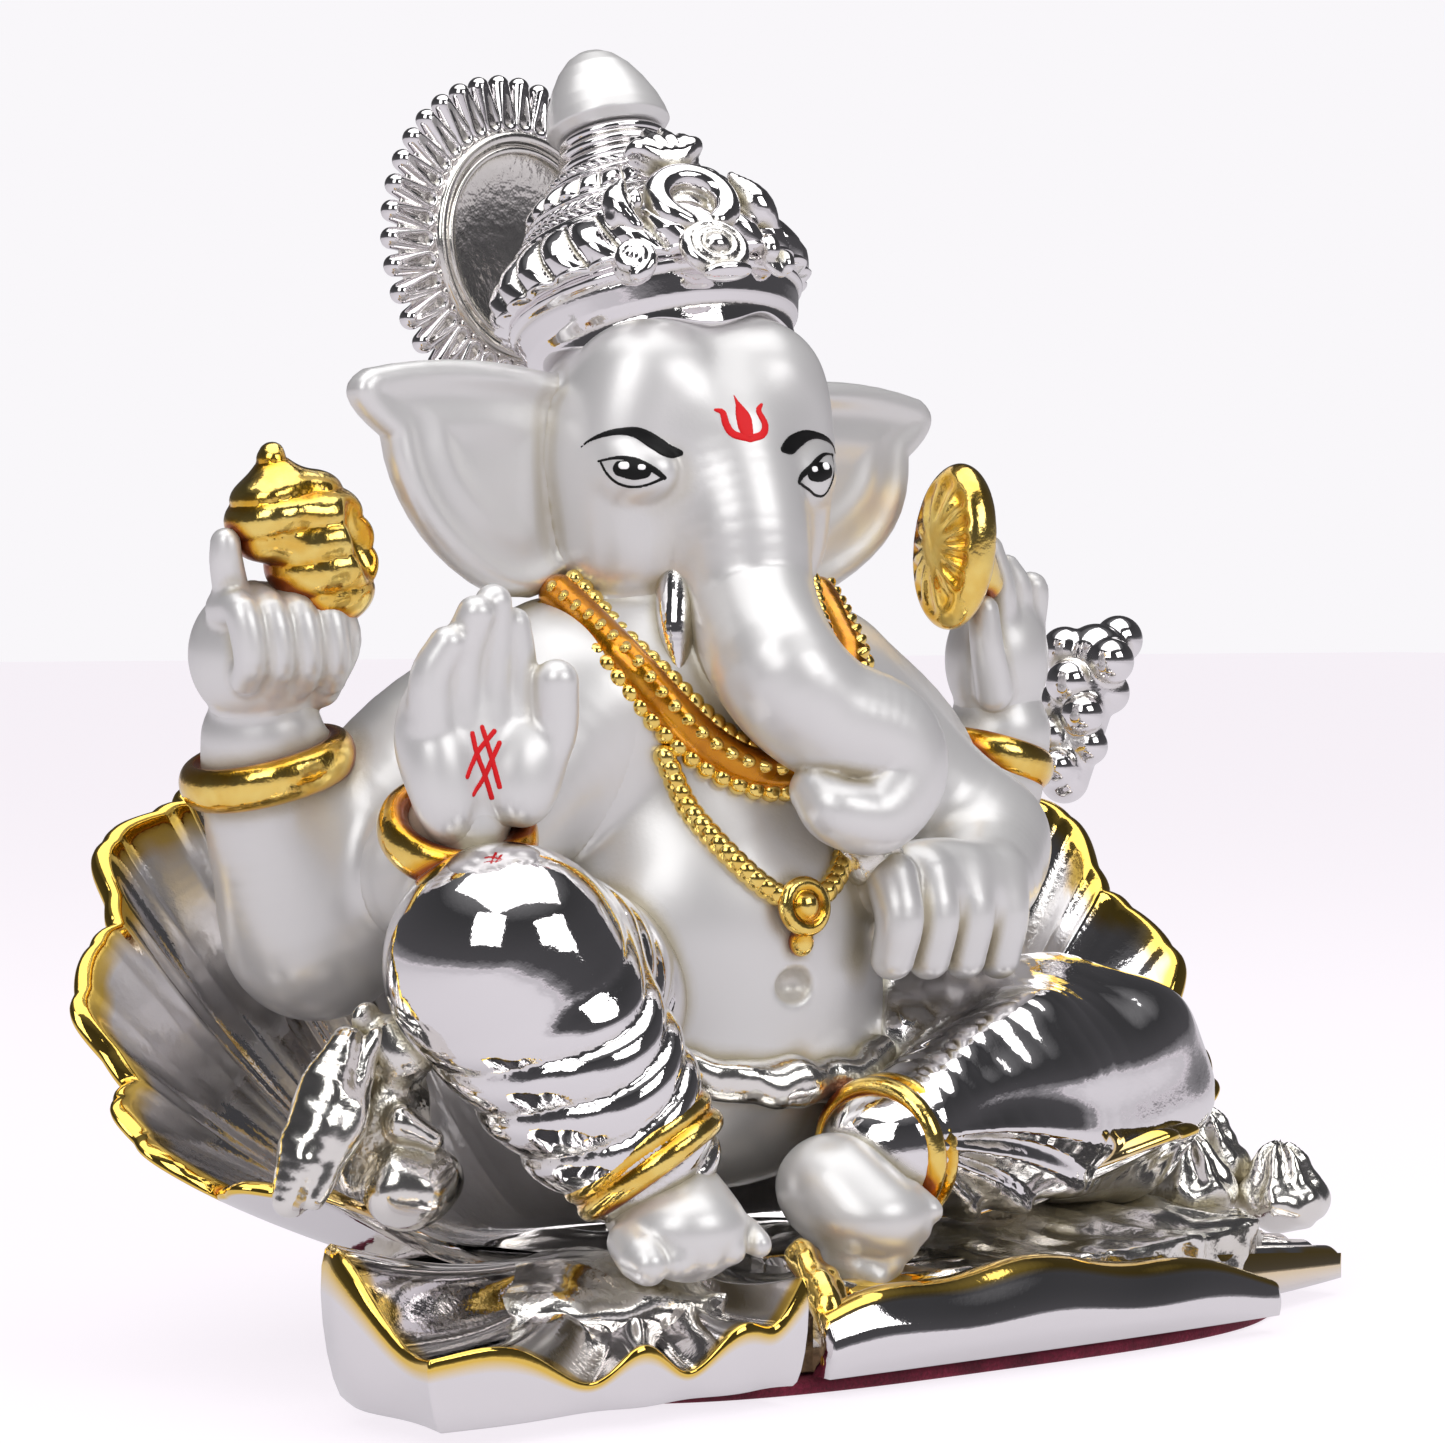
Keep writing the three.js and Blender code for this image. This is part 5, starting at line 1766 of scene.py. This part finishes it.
@dataclass
class Halo:
    """The rayed disc behind the crown: a ring of petals round a polished dish."""

    radius: float = 20.0
    thickness: float = 3.4
    petals: int = 38

    def lobes(self) -> Skin:
        """The ring of petals."""
        mid = self.thickness / 2
        petal = Carved(Rod([(0, 2.3, 0), (0, -2.1, 0)], [1.25, 1.6], 5),
                       [Rod([(0, 2.0, z), (0, -1.9, z)], [0.55, 0.85], 5) for z in (1.7, -1.7)], 0.25)
        form = mesh_hollows(skin_of(petal, 0.3, 1), 4, 0.25)
        a = np.arange(self.petals * 2) / (self.petals * 2) * 2 * math.pi
        r = self.radius - 3.6
        path = np.stack([r * np.cos(a), r * np.sin(a), np.zeros_like(a)], 1)
        form = Skin(form.points * (1, -1, 1), form.quads[:, ::-1], form.tris, None, form.marks)
        ring = Strung("halo_petals", Finish.MIRROR, self.petals, 1.0, True).along(path, form)
        ring = Skin(ring.points + (0, 0, mid), ring.quads, ring.tris, None, ring.marks)
        profile = curve_through([(13.9, 0.9), (15.2, 0.7), (16.9, 1.1), (17.8, mid), (16.9, 2.3), (15.2, 2.7),
                                 (13.9, 2.5), (13.5, mid)], 4)
        angles = np.arange(180) / 180 * 2 * math.pi
        far, high = profile.T
        rows = np.stack([np.stack([far * math.cos(t), far * math.sin(t), high], 1) for t in angles])
        rows = np.concatenate([rows, rows[:1]])
        hoop = outward(sheet_skin(rows, True, False))
        # A fixed share of painted hollow shade darkens the whole hoop between the petals.
        hoop.marks["hollow"] = np.full(len(hoop.points), 0.35)
        hoop.marks["gilt"] = np.zeros(len(hoop.points))
        return Skin.joined([ring, hoop]).moved(HALO_TURN, HALO_AT)

    def dish(self) -> Skin:
        """The dish with two thin rings at its edge."""
        outline = [(0.05, 1.5), (4, 1.55), (8, 1.95), (10.4, 2.7), (10.9, 3.4), (11.4, 3.5), (11.8, 3.0),
                   (12.2, 3.6), (12.9, 3.7), (13.3, 3.0), (13.3, 1.2), (12.6, 0.4), (8, 0.3), (0.05, 0.5)]
        path = curve_through(outline, 5)
        a = np.arange(240) / 240 * 2 * math.pi
        rows = np.stack([np.stack([r * np.cos(a), r * np.sin(a), np.full_like(a, h)], 1) for r, h in path])
        return mesh_hollows(outward(sheet_skin(rows)), 6, 0.3).moved(HALO_TURN, HALO_AT)


# ---- the seat
LIP_ROWS = 7  # rows of points round a plate's free edge


def plate_skin(across: int, along: int, place: Callable[[Array, Array, float], Array], lip: float) -> Skin:
    """A plate with a rounded free edge.

    Args:
        across: steps along the plate.
        along: steps from its root to its edge.
        place: gives points for u along, w from root to edge, and t from 0 (under) to 1 (upper).
        lip: share of w that the rounded edge takes.
    Returns:
        The closed skin.
    """
    w_up = np.linspace(0, 1, along + 1)
    bend = np.linspace(0, math.pi, LIP_ROWS + 2)[1:-1]
    rows = []
    for u in np.linspace(0, 1, across + 1):
        upper = place(np.full_like(w_up, u), w_up, 1.0)
        under = place(np.full_like(w_up, u), w_up, 0.0)
        out = upper[-1] - upper[-2] + under[-1] - under[-2]
        out = out / max(np.linalg.norm(out), 1e-6)
        middle, half = (upper[-1] + under[-1]) / 2, (upper[-1] - under[-1]) / 2
        swell = out * np.linalg.norm(half) * lip
        turn = middle + np.cos(bend)[:, None] * half + np.sin(bend)[:, None] * swell
        rows.append(np.concatenate([upper, turn, under[::-1]]))
    return outward(sheet_skin(np.stack(rows)))


def plate_rows(skin: Skin, along: int) -> tuple[Array, int]:
    """For each point of a plate but the last two, its row from the root round the edge and back.

    Args:
        skin: the plate.
        along: steps from its root to its edge.
    Returns:
        The rows, and how many of them lie on the upper side.
    """
    upper = along + 1
    return np.arange(len(skin.points) - 2) % (upper * 2 + LIP_ROWS), upper


def gilded(skin: Skin, share: Array) -> Skin:
    """Marks where gold lacquer covers a skin."""
    skin.marks["gilt"] = np.clip(share, 0, 1)
    return skin


@dataclass
class Shells:
    """The fluted shells and the leaves that make the seat."""

    half_width: float = 63.5
    centre_x: float = -3.6
    half_depth: float = 32.0
    back_height: float = 60.0
    tip_height: float = 20.0
    hub_height: float = 8.5
    wall: float = 3.0
    flutes: int = 17
    flute_depth: float = 2.5
    turn_degrees: float = -10.0
    cast_low: float = 1.9

    def rear(self) -> Skin:
        """The dish that stands up behind the figure."""
        turn = turn_about("Z", self.turn_degrees)

        def place(u: Array, w: Array, t: float) -> Array:
            """Points of the fluted dish."""
            a = np.radians(-132 + 264 * u)
            back = step_up(np.abs(a), 0.7, 2.15)
            rim = self.back_height + (self.tip_height - self.back_height) * back
            wave = 1.6 * np.abs(np.cos(self.flutes / 2 * a)) ** 0.75 - 1.0
            wave = wave + 0.16 * np.sin(a * 31 + w * 5) * w + 0.22 * np.abs(np.sin(self.flutes * 1.5 * a))
            r = 0.34 + 0.66 * w
            bowl = self.hub_height + (rim - self.hub_height) * w ** 1.5
            lift = self.flute_depth * wave * w * (0.35 + 0.65 * w)
            wall = (t - 0.5) * self.wall * (1 - 0.25 * w)
            steep = 0.3 + 0.6 * w
            x = self.centre_x + np.sin(a) * (self.half_width * r + (lift - wall * steep))
            y = 2 + np.cos(a) * (self.half_depth * r + (lift - wall * steep))
            return np.stack([x, y, bowl + wall * (1 - 0.5 * w) + lift * 0.5], 1) @ turn.T

        skin = mesh_hollows(plate_skin(560, 60, place, 1.0), 14, 0.35)
        return self.with_rim(skin, 60, 7, 0.945)

    def with_rim(self, skin: Skin, along: int, rows: int, start: float) -> Skin:
        """Gilds the free edge of a plate, with a ragged brushed border.

        Args:
            skin: the plate.
            along: steps from its root to its edge.
            rows: how many of the rows round the edge are gilded.
            start: share of the way to the edge where the gold begins.
        Returns:
            The marked skin.
        """
        k, flat = plate_rows(skin, along)
        ragged = 0.025 * wander(skin.points[:-2], 5.0, 41) + 0.03 * skin.marks["hollow"][:-2]
        inner = step_up(k / (flat - 1) + ragged, start, start + 0.04)
        gold = np.where(k < flat, inner, np.where(k < flat + rows, 1.0, 0.0))
        return gilded(skin, np.concatenate([gold, [0, 0]]))

    def front(self) -> Skin:
        """The fan that spreads under the right foot to the front edge."""
        hub = np.array([-22.0, -17.0, 13.5])

        def place(u: Array, w: Array, t: float) -> Array:
            """Points of the fan's waved top and its flat foot."""
            a = np.radians(188 + 92 * u)
            wave = 0.85 * np.cos(a * math.pi * 5.2 + 0.6) + 0.15 * np.sin(a * 23)
            square = 1 / np.maximum(np.abs(np.cos(a)), np.abs(np.sin(a)) * 1.55)
            r = 39.0 * square * (0.12 + 0.88 * w) * (1 + 0.02 * wave * w)
            rim = self.cast_low + 3.7 + 13 * (1 - u) ** 4 + 7 * u ** 6 + 0.8 * wave
            dish = hub[2] + (rim - hub[2]) * w ** 0.9 - 2 * np.sin(math.pi * w) + 1.1 * wave * w
            inward = 1 - (0.02 + 0.05 * (1 - t)) * w
            z = dish if t > 0.5 else np.full_like(w, self.cast_low)
            return np.stack([hub[0] + r * np.cos(a) * inward, hub[1] + r * np.sin(a) * inward, z], 1)

        skin = mesh_hollows(plate_skin(360, 60, place, 0.25), 14, 0.4)
        return self.with_rim(skin, 60, 2, 0.925)

    def leaf_front(self) -> Skin:
        """The long lip along the front right edge."""

        def place(u: Array, w: Array, t: float) -> Array:
            """Points of the rolled lip."""
            swell = np.sin(math.pi * (0.1 + 0.88 * u)) ** 0.7
            x = -13 + u * 62
            high = self.cast_low + 2.9 + 5.4 * swell * (1 - 0.35 * u) + 0.5 * np.sin(u * 17)
            y = -38.5 - 1.6 + 1.6 * u ** 3 + 4.5 * t * (0.35 + 0.65 * swell)
            y = y - 2 * np.sin(math.pi * w) * swell * (1 - t)
            return np.stack([x, y, self.cast_low + w * (high - self.cast_low)], 1)

        skin = mesh_hollows(plate_skin(240, 30, place, 0.8), 8, 0.4)
        return self.with_rim(skin, 30, 7, 0.72)

    def leaf_far(self) -> Skin:
        """The pleated ground at the front right, drawn out to a point."""

        def place(u: Array, w: Array, t: float) -> Array:
            """Points of the pleated top and its flat foot."""
            x = -6 + u * (78 - 4 * w)
            y = -34.5 + w * 17.5 + 8.4 * u ** 2.6 * (1 - w) + u ** 3 * 2
            pleat = 1.1 * (np.abs(np.sin(math.pi * (3.4 * w + 0.9 * u))) ** 0.8 - 0.6) * (1 - 0.3 * u)
            high = 11 - 1.5 * (1 - w) - 4.6 * u ** 2 + pleat
            return np.stack([x, y, high if t > 0.5 else np.full_like(x, self.cast_low)], 1)

        skin = mesh_hollows(plate_skin(300, 60, place, 0.1), 10, 0.5)
        k, flat = plate_rows(skin, 60)
        near_front = step_up(k / flat + 0.05 * wander(skin.points[:-2], 6.0, 44), 0.16, 0.06) * (k < flat)
        return gilded(skin, np.concatenate([near_front, [0, 0]]))

    def skins(self) -> dict[str, Skin]:
        """Each plate by node name."""
        return {"shell_rear": self.rear(), "shell_front": self.front(), "leaf_front": self.leaf_front(),
                "leaf_far": self.leaf_far()}


@dataclass
class Base:
    """The fibre board that closes the casting and the velvet glued under it."""

    corner: float = 3.2

    def slab(self, node: str, edge: float, inset_all: float) -> Skin:
        """A level slab with a rounded edge, after a CAD node's own box.

        Args:
            node: the CAD node.
            edge: radius of the rounded edge in mm.
            inset_all: how far it stays inside the box at each side.
        Returns:
            The skin.
        """
        low, high = node_box(node)
        low, high = low - AXIS, high - AXIS
        middle, half = (low + high) / 2, (high - low) / 2 - (inset_all, inset_all, 0)
        a = np.arange(360) / 360 * 2 * math.pi
        power = 2 / self.corner
        cos, sin = np.cos(a), np.sin(a)
        round_x = np.sign(cos) * np.abs(cos) ** power
        round_y = np.sign(sin) * np.abs(sin) ** power
        rows = []
        steps = [(edge * (1 - math.sin(t)), -half[2] + edge * (1 - math.cos(t)))
                 for t in np.linspace(0, math.pi / 2, 5)]
        steps += [(inset, -z) for inset, z in reversed(steps)]
        for inset in (half[1] * 0.6, half[1] * 0.25):
            steps.insert(0, (inset, -half[2]))
        steps += [(half[1] * 0.25, half[2]), (half[1] * 0.6, half[2])]
        for inset, z in steps:
            x = middle[0] + round_x * (half[0] - inset)
            y = middle[1] + round_y * (half[1] - inset)
            rows.append(np.stack([x, y, np.full_like(a, middle[2] + z)], 1))
        return outward(sheet_skin(np.stack(rows)))


# ---- necklace and pendant
@dataclass
class Necklace:
    """The rope necklace, the bead chain and its pendant, laid on the chest."""

    skin: Shape

    def path(self, half: float, top: float, drop: float, lift: float) -> Array:
        """A line that hangs from side to side and rests on the chest.

        Args:
            half: half its width at the top.
            top: height of its ends.
            drop: how far its middle hangs down.
            lift: how far it stands off the skin.
        Returns:
            Points in mm.
        """
        x = np.linspace(-half, half, 61)
        z = top - drop * (1 - (np.abs(x) / half) ** 2) ** 0.8
        start = np.stack([x, np.full_like(x, -30.0), z], 1)
        rest = laid_on(self.skin, start, np.array([0.0, 1.0, 0.0]), lift)
        rest[:, 1] = np.minimum(rest[:, 1], 4.0 - lift)
        return curve_through(rest[::4], 4)

    def bead(self, r: float, long: float = 1.0) -> Skin:
        """A round bead of radius r, drawn out along the string."""
        return skin_of(Ball((0, 0, 0), (r * long, r, r)), r * 0.38, 1)

    def rope(self) -> Skin:
        """A flat rope band: a core with slanted strands between two rows of beads."""
        path = self.path(17.5, 80.5, 19.0, 0.9)
        out = unit(gradient(self.skin, path))
        way = unit(np.gradient(path, axis=0))
        side = unit(np.cross(way, out))
        core = Rod(path[::2] - out[::2] * 0.5, [2.3] * len(path[::2]), 1)
        strands = skin_of(core, 0.4, 1)
        count = len(strands.points)
        # The core between the bead rows gets a fixed share of painted hollow shade.
        strands.marks = {"hollow": np.full(count, 0.42), "gilt": np.zeros(count)}
        rows = [strands]
        for shift in (-2.3, 2.3):
            edge = path + side * shift - out * 0.4
            rows.append(Strung("rope_beads", Finish.GOLD, 38).along(edge, self.bead(1.15)))
        plait = skin_of(Ball((0, 0, 0), (0.75, 1.9, 0.9), (0, 0, 32)), 0.25, 1)
        rows.append(Strung("rope_plaits", Finish.GOLD, 36).along(path + out * 0.8, plait))
        return Skin.joined(rows)

    def chain(self) -> Skin:
        """The bead chain that carries the pendant."""
        path = self.path(12.0, 63.0, 15.2, 0.5)
        return Strung("chain_beads", Finish.GOLD, 34).along(path, self.bead(1.3, 1.12))

    def pendant(self) -> Shape:
        """The round pendant with a drop under it."""
        c = middle_of("pendant")
        return Blend([Hoop(c + (0, -0.6, 1.0), (0, -1, 0.15), 2.4, 0.85),
                      Ball(c + (0, -0.3, 1.0), (1.8, 1.7, 1.8)),
                      Ball(c + (0, 0.0, -2.8), (1.4, 1.3, 1.6))], 0.3)


# ---- brush strokes
@dataclass
class Brushwork:
    """The eyes and brows in black, painted highlights on the eyes in white, the mark on the brow and the
    lines in the palm in red.
    """

    head: Shape
    palm: Shape
    step: float = 0.15

    def line(self, skin: Shape, points: Sequence[Point], widths: Sequence[float],
             turned: bool = True) -> Painted:
        """One stroke through points near a skin, with half its width at each."""
        placed = np.array([in_head(*q) if turned else q for q in points])
        return Painted(skin, Rod(on_skin(skin, placed), widths, 5))

    def twin(self, points: Sequence[Point]) -> list[Array]:
        """The same points on the other side of the face."""
        back = FACE_TURN.T
        return [FACE_TURN @ (back @ np.array(q, float) * (-1, 1, 1) - (3.4, 0, 0)) for q in points]

    def eye(self, mirrored: bool) -> dict[str, list[Shape]]:
        """Brow, lids, iris and the two painted highlights of one eye.

        Args:
            mirrored: whether it is the figure's left eye.
        Returns:
            The strokes by colour.
        """
        brow = [(-18.3, -4.2, 17.7), (-18.1, -5.4, 18.5), (-17.6, -7.2, 19.2), (-16.8, -9.0, 19.5),
                (-15.8, -10.7, 19.4), (-14.4, -12.3, 18.7), (-13.4, -13.1, 18.1), (-12.1, -13.7, 17.5)]
        upper = [(-17.8, -6.6, 16.3), (-17.0, -8.6, 16.6), (-16.5, -10.3, 16.5), (-16.2, -11.9, 16.0),
                 (-15.4, -13.0, 15.2), (-14.3, -13.6, 14.2)]
        lower = [(-17.6, -6.9, 16.1), (-17.3, -7.6, 15.0), (-16.8, -8.6, 14.1), (-16.2, -10.0, 13.6),
                 (-15.6, -11.4, 13.6), (-14.5, -13.4, 14.2)]
        iris = [(-16.9, -9.0, 15.5), (-16.6, -10.4, 15.4), (-16.2, -11.6, 15.3)]
        # Painted highlights: two white dots standing in for the lamps' reflections on the iris.
        glints = [[(-16.9, -9.2, 15.8), (-16.8, -9.6, 15.8)], [(-16.3, -11.2, 15.7), (-16.2, -11.5, 15.7)]]
        if mirrored:
            brow, upper, lower, iris = (self.twin(q) for q in (brow, upper, lower, iris))
            glints = [self.twin(q) for q in glints]
        dark = [self.line(self.head, brow, [0.08, 0.15, 0.3, 0.4, 0.65, 0.9, 0.9, 0.35]),
                self.line(self.head, upper, [0.14, 0.2, 0.3, 0.38, 0.34, 0.25]),
                self.line(self.head, lower, [0.14, 0.16, 0.16, 0.16, 0.16, 0.2]),
                self.line(self.head, iris, [0.85, 1.1, 0.85])]
        light = [self.line(self.head, q, [size, size]) for q, size in zip(glints, (0.42, 0.32))]
        for glint in light:
            glint.film = 0.16
        return {"black": dark, "white": light}

    def mark(self) -> list[Shape]:
        """The three-tongued flame on the brow."""
        middle = [(-6.0, -15.1, 23.8), (-5.8, -15.3, 22.7), (-5.5, -15.7, 21.0), (-5.4, -15.9, 19.7),
                  (-5.2, -16.1, 18.9)]
        near = [(-8.4, -14.7, 22.0), (-7.7, -15.0, 21.7), (-7.4, -15.1, 20.3), (-6.7, -15.4, 19.1)]
        far = [(-3.0, -16.0, 22.5), (-3.6, -16.1, 21.7), (-3.2, -16.7, 20.3), (-3.8, -16.6, 19.1)]
        root, slim = (-5.2, -16.2, 18.6), [0.18, 0.35, 0.42, 0.42, 0.42]
        tongues = [(middle, [0.05, 0.25, 0.85, 0.8, 0.4]), ([*near, root], slim), ([*far, root], slim)]
        return [self.line(self.head, points, widths) for points, widths in tongues]

    def blessing(self) -> list[Shape]:
        """The sign on the open palm: two slanted lines crossed by two."""
        strokes = [[(-40.3, -16.8, 66.2), (-39.9, -17, 64.2), (-39, -17.1, 62), (-38.1, -16.9, 59.7)],
                   [(-39.2, -16.9, 66.8), (-38.7, -17.1, 65), (-38.2, -17.3, 63.3), (-37.6, -17.6, 60.8)],
                   [(-37.9, -17.1, 66.4), (-39.6, -17, 64.6), (-40.3, -17, 63.5), (-41.3, -17.4, 61.9)],
                   [(-37.4, -17.2, 65.2), (-38.4, -17.2, 63.3), (-39.1, -17, 61.7), (-40.3, -17.1, 60.1)]]
        return [self.line(self.palm, q, [0.27] * 4, False) for q in strokes]

    def build(self) -> None:
        """Makes every stroke, one piece for each colour."""
        eyes = [self.eye(False), self.eye(True)]
        films = {("brows_and_eyes", Finish.BLACK): [s for e in eyes for s in e["black"]],
                 ("eye_highlights", Finish.WHITE): [s for e in eyes for s in e["white"]],
                 ("brow_mark", Finish.RED): self.mark(), ("palm_sign", Finish.RED): self.blessing()}
        for (name, finish), strokes in films.items():
            skin = Skin.joined([skin_of(stroke, self.step, 1) for stroke in strokes])
            dress(object_from(skin, name, finish), Slot.SATIN)


# ---- studio
@dataclass
class Studio:
    """The pale floor, the soft lights and the camera; lengths in mm but the floor's, in metres."""

    floor_half: float = 6.0
    target: Point = (2.0, 0.0, 66.4)
    distance: float = 438.0
    azimuth: float = -35.0
    elevation: float = 1.5
    lens: float = 99.65

    def forward(self) -> Array:
        """The way the camera looks."""
        a, e = math.radians(self.azimuth), math.radians(self.elevation)
        return np.array([-math.sin(a) * math.cos(e), math.cos(a) * math.cos(e), -math.sin(e)])

    def camera(self) -> None:
        """Places the camera."""
        data = bpy.data.cameras.new("camera")
        data.lens = self.lens
        data.sensor_width = 36.0
        data.clip_start, data.clip_end = 0.01, 100.0
        camera = bpy.data.objects.new("camera", data)
        ahead = self.forward()
        camera.location = Vector(((np.array(self.target) + AXIS) - ahead * self.distance) * MM)
        camera.rotation_euler = Vector(ahead).to_track_quat("-Z", "Y").to_euler()
        bpy.context.scene.collection.objects.link(camera)
        bpy.context.scene.camera = camera

    def light(self, name: str, place: Point, size: tuple[float, float], power: float,
              aim: Point = (0, 0, 60)) -> None:
        """A rectangular soft light.

        Args:
            name: its name.
            place: where it hangs, in mm in the figure's frame.
            size: its width and height in metres.
            power: in watts.
            aim: the point it faces.
        """
        data = bpy.data.lights.new(name, "AREA")
        data.shape = "RECTANGLE"
        data.size, data.size_y = size
        data.energy = power
        lamp = bpy.data.objects.new(name, data)
        at = (np.array(place) + AXIS) * MM
        lamp.location = Vector(at)
        lamp.rotation_euler = Vector((np.array(aim) + AXIS) * MM - at).to_track_quat("-Z", "Y").to_euler()
        bpy.context.scene.collection.objects.link(lamp)

    def floor(self) -> None:
        """A large level floor under the idol, a little greyer in what mirrors it."""
        mesh = bpy.data.meshes.new("floor")
        s = self.floor_half
        mesh.from_pydata([(-s, -s, 0), (s, -s, 0), (s, s, 0), (-s, s, 0)], [], [(0, 1, 2, 3)])
        material = bpy.data.materials.new("pale_studio_floor")
        material.use_nodes = True
        tree = material.node_tree
        shader = tree.nodes["Principled BSDF"]
        shader.inputs["Base Color"].default_value = linear("#7f7d80")
        shader.inputs["Roughness"].default_value = 0.9
        path = add_node(tree, "ShaderNodeLightPath")
        glow = blend_colour(tree, path.outputs["Is Glossy Ray"], linear("#f6f0f6"), linear("#c2bfc4"))
        tree.links.new(glow, shader.inputs["Emission Color"])
        shader.inputs["Emission Strength"].default_value = 0.86
        mesh.materials.append(material)
        floor = bpy.data.objects.new("floor", mesh)
        bpy.context.scene.collection.objects.link(floor)

    def world(self) -> None:
        """A white backdrop, darker overhead for what the bright plate mirrors."""
        world = bpy.data.worlds.new("studio")
        bpy.context.scene.world = world
        world.use_nodes = True
        tree = world.node_tree
        tree.nodes.clear()
        path = add_node(tree, "ShaderNodeLightPath")
        up = add_node(tree, "ShaderNodeSeparateXYZ", inputs={
            "Vector": add_node(tree, "ShaderNodeTexCoord").outputs["Generated"]}).outputs["Z"]
        sky = ramp_node(tree, up, ((0.0, "#d9d3da"), (0.04, "#8b898d"), (0.14, "#4b4a4d"), (0.7, "#3a3a3c"),
                                   (1.0, "#8c8c8e")))
        soft = blend_colour(tree, path.outputs["Is Camera Ray"], linear("#d2d0d3"), linear("#f9f7fa"))
        colour = blend_colour(tree, path.outputs["Is Glossy Ray"], soft, sky)
        add_node(tree, "ShaderNodeOutputWorld", inputs={"Surface": add_node(
            tree, "ShaderNodeBackground", inputs={"Color": colour, "Strength": 1.0}).outputs[0]})

    def build(self) -> None:
        """Sets the whole studio up."""
        self.camera()
        self.floor()
        self.world()
        self.light("window_left", (-420, -330, 420), (0.30, 0.34), 0.9)
        self.light("window_right", (160, -520, 380), (0.34, 0.26), 0.8)
        self.light("overhead", (0, -40, 620), (0.7, 0.6), 2.2)
        bpy.context.scene.view_settings.view_transform = "Standard"


# ---- putting it together
SLOT_OF = {Finish.MIRROR: Slot.MIRROR, Finish.CRUMPLED: Slot.MIRROR, Finish.SATIN: Slot.SATIN,
           Finish.GOLD: Slot.GOLD, Finish.VELVET: Slot.VELVET, Finish.BOARD: Slot.BOARD}
FINE = 0.34  # spacing of the smaller castings' meshes in mm
COARSER = {"leg_left": 0.45, "leg_right": 0.45, "seat_block": 0.6}


@dataclass
class Idol:
    """The whole idol."""

    body: Body = field(default_factory=Body)
    trousers: Trousers = field(default_factory=Trousers)
    jewels: Jewels = field(default_factory=Jewels)
    beside: Beside = field(default_factory=Beside)
    crown: Crown = field(default_factory=Crown)
    halo: Halo = field(default_factory=Halo)
    shells: Shells = field(default_factory=Shells)
    base: Base = field(default_factory=Base)

    def finish_of(self, node: str) -> Finish:
        """Which finish a casting has."""
        if node in ("conch", "gold_disc", "ribbon", "pendant") or node.startswith(("bangle", "hem")):
            return Finish.GOLD
        if node in ("mouse", "mouse_leaf", "seat_block", "sash") or node.startswith("sweet"):
            return Finish.CRUMPLED
        if node in self.body.soft:
            return Finish.SATIN
        return Finish.MIRROR

    def build(self) -> None:
        """Makes and dresses every piece."""
        groups = self.body.groups()
        whole: list[Shape] = list(groups.values())
        cast: dict[str, Shape] = {}
        for made in (self.trousers.shapes(), self.trousers.hems(), self.jewels.shapes(), self.beside.shapes(),
                     self.crown.ornaments()):
            cast.update(made)
        necklace = Necklace(Blend([groups[n] for n in ("torso", "arm_lower_right", "arm_lower_left")], 1.0))
        cast["pendant"] = necklace.pendant()
        around = Blend(whole + list(cast.values()), 0.0)
        for name in groups:
            self.cast(name, SkinPart(groups, self.body.soft, name), around, self.body.step)
        for name, shape in cast.items():
            self.cast(name, shape, around, COARSER.get(name, FINE))
        skins = {**self.crown.rings(), "halo_lobes": self.halo.lobes(), "halo_dish": self.halo.dish(),
                 **self.shells.skins(), "velvet_pad": self.base.slab("velvet_pad", 0.5, 0.2),
                 "closing_board": self.base.slab("closing_board", 0.25, 1.2)}
        finishes = {"velvet_pad": Finish.VELVET, "closing_board": Finish.BOARD, "crown_finial": Finish.SATIN,
                    "halo_dish": Finish.CRUMPLED}
        for name, skin in skins.items():
            finish = finishes.get(name, Finish.MIRROR)
            dress(object_from(skin, name + "_visual", finish), SLOT_OF[finish], [name])
        Brushwork(groups["head"], groups["hand_lower_right"]).build()
        for name, skin in (("necklace_rope", necklace.rope()), ("necklace_chain", necklace.chain())):
            dress(object_from(skin, name + "_visual", Finish.GOLD), Slot.GOLD, [name])

    def cast(self, node: str, shape: Shape, around: Shape, step: float) -> None:
        """Makes one casting from its distance shape and dresses it.

        Args:
            node: the CAD node that it stands for.
            shape: its shape.
            around: everything that stands near it.
            step: spacing of its mesh in mm.
        """
        skin = skin_of(shape, step)
        # The hollow mark becomes painted shade in the casting's finish.
        skin.marks["hollow"] = hollows_of(skin.points, skin.normals, around)
        finish = self.finish_of(node)
        dress(object_from(skin, node + "_visual", finish), SLOT_OF[finish], [node])


def main() -> None:
    """Builds the idol and its studio."""
    logging.basicConfig(level=logging.INFO, format="%(name)s %(message)s")
    Idol().build()
    Studio().build()


if __name__ == "__main__":
    main()
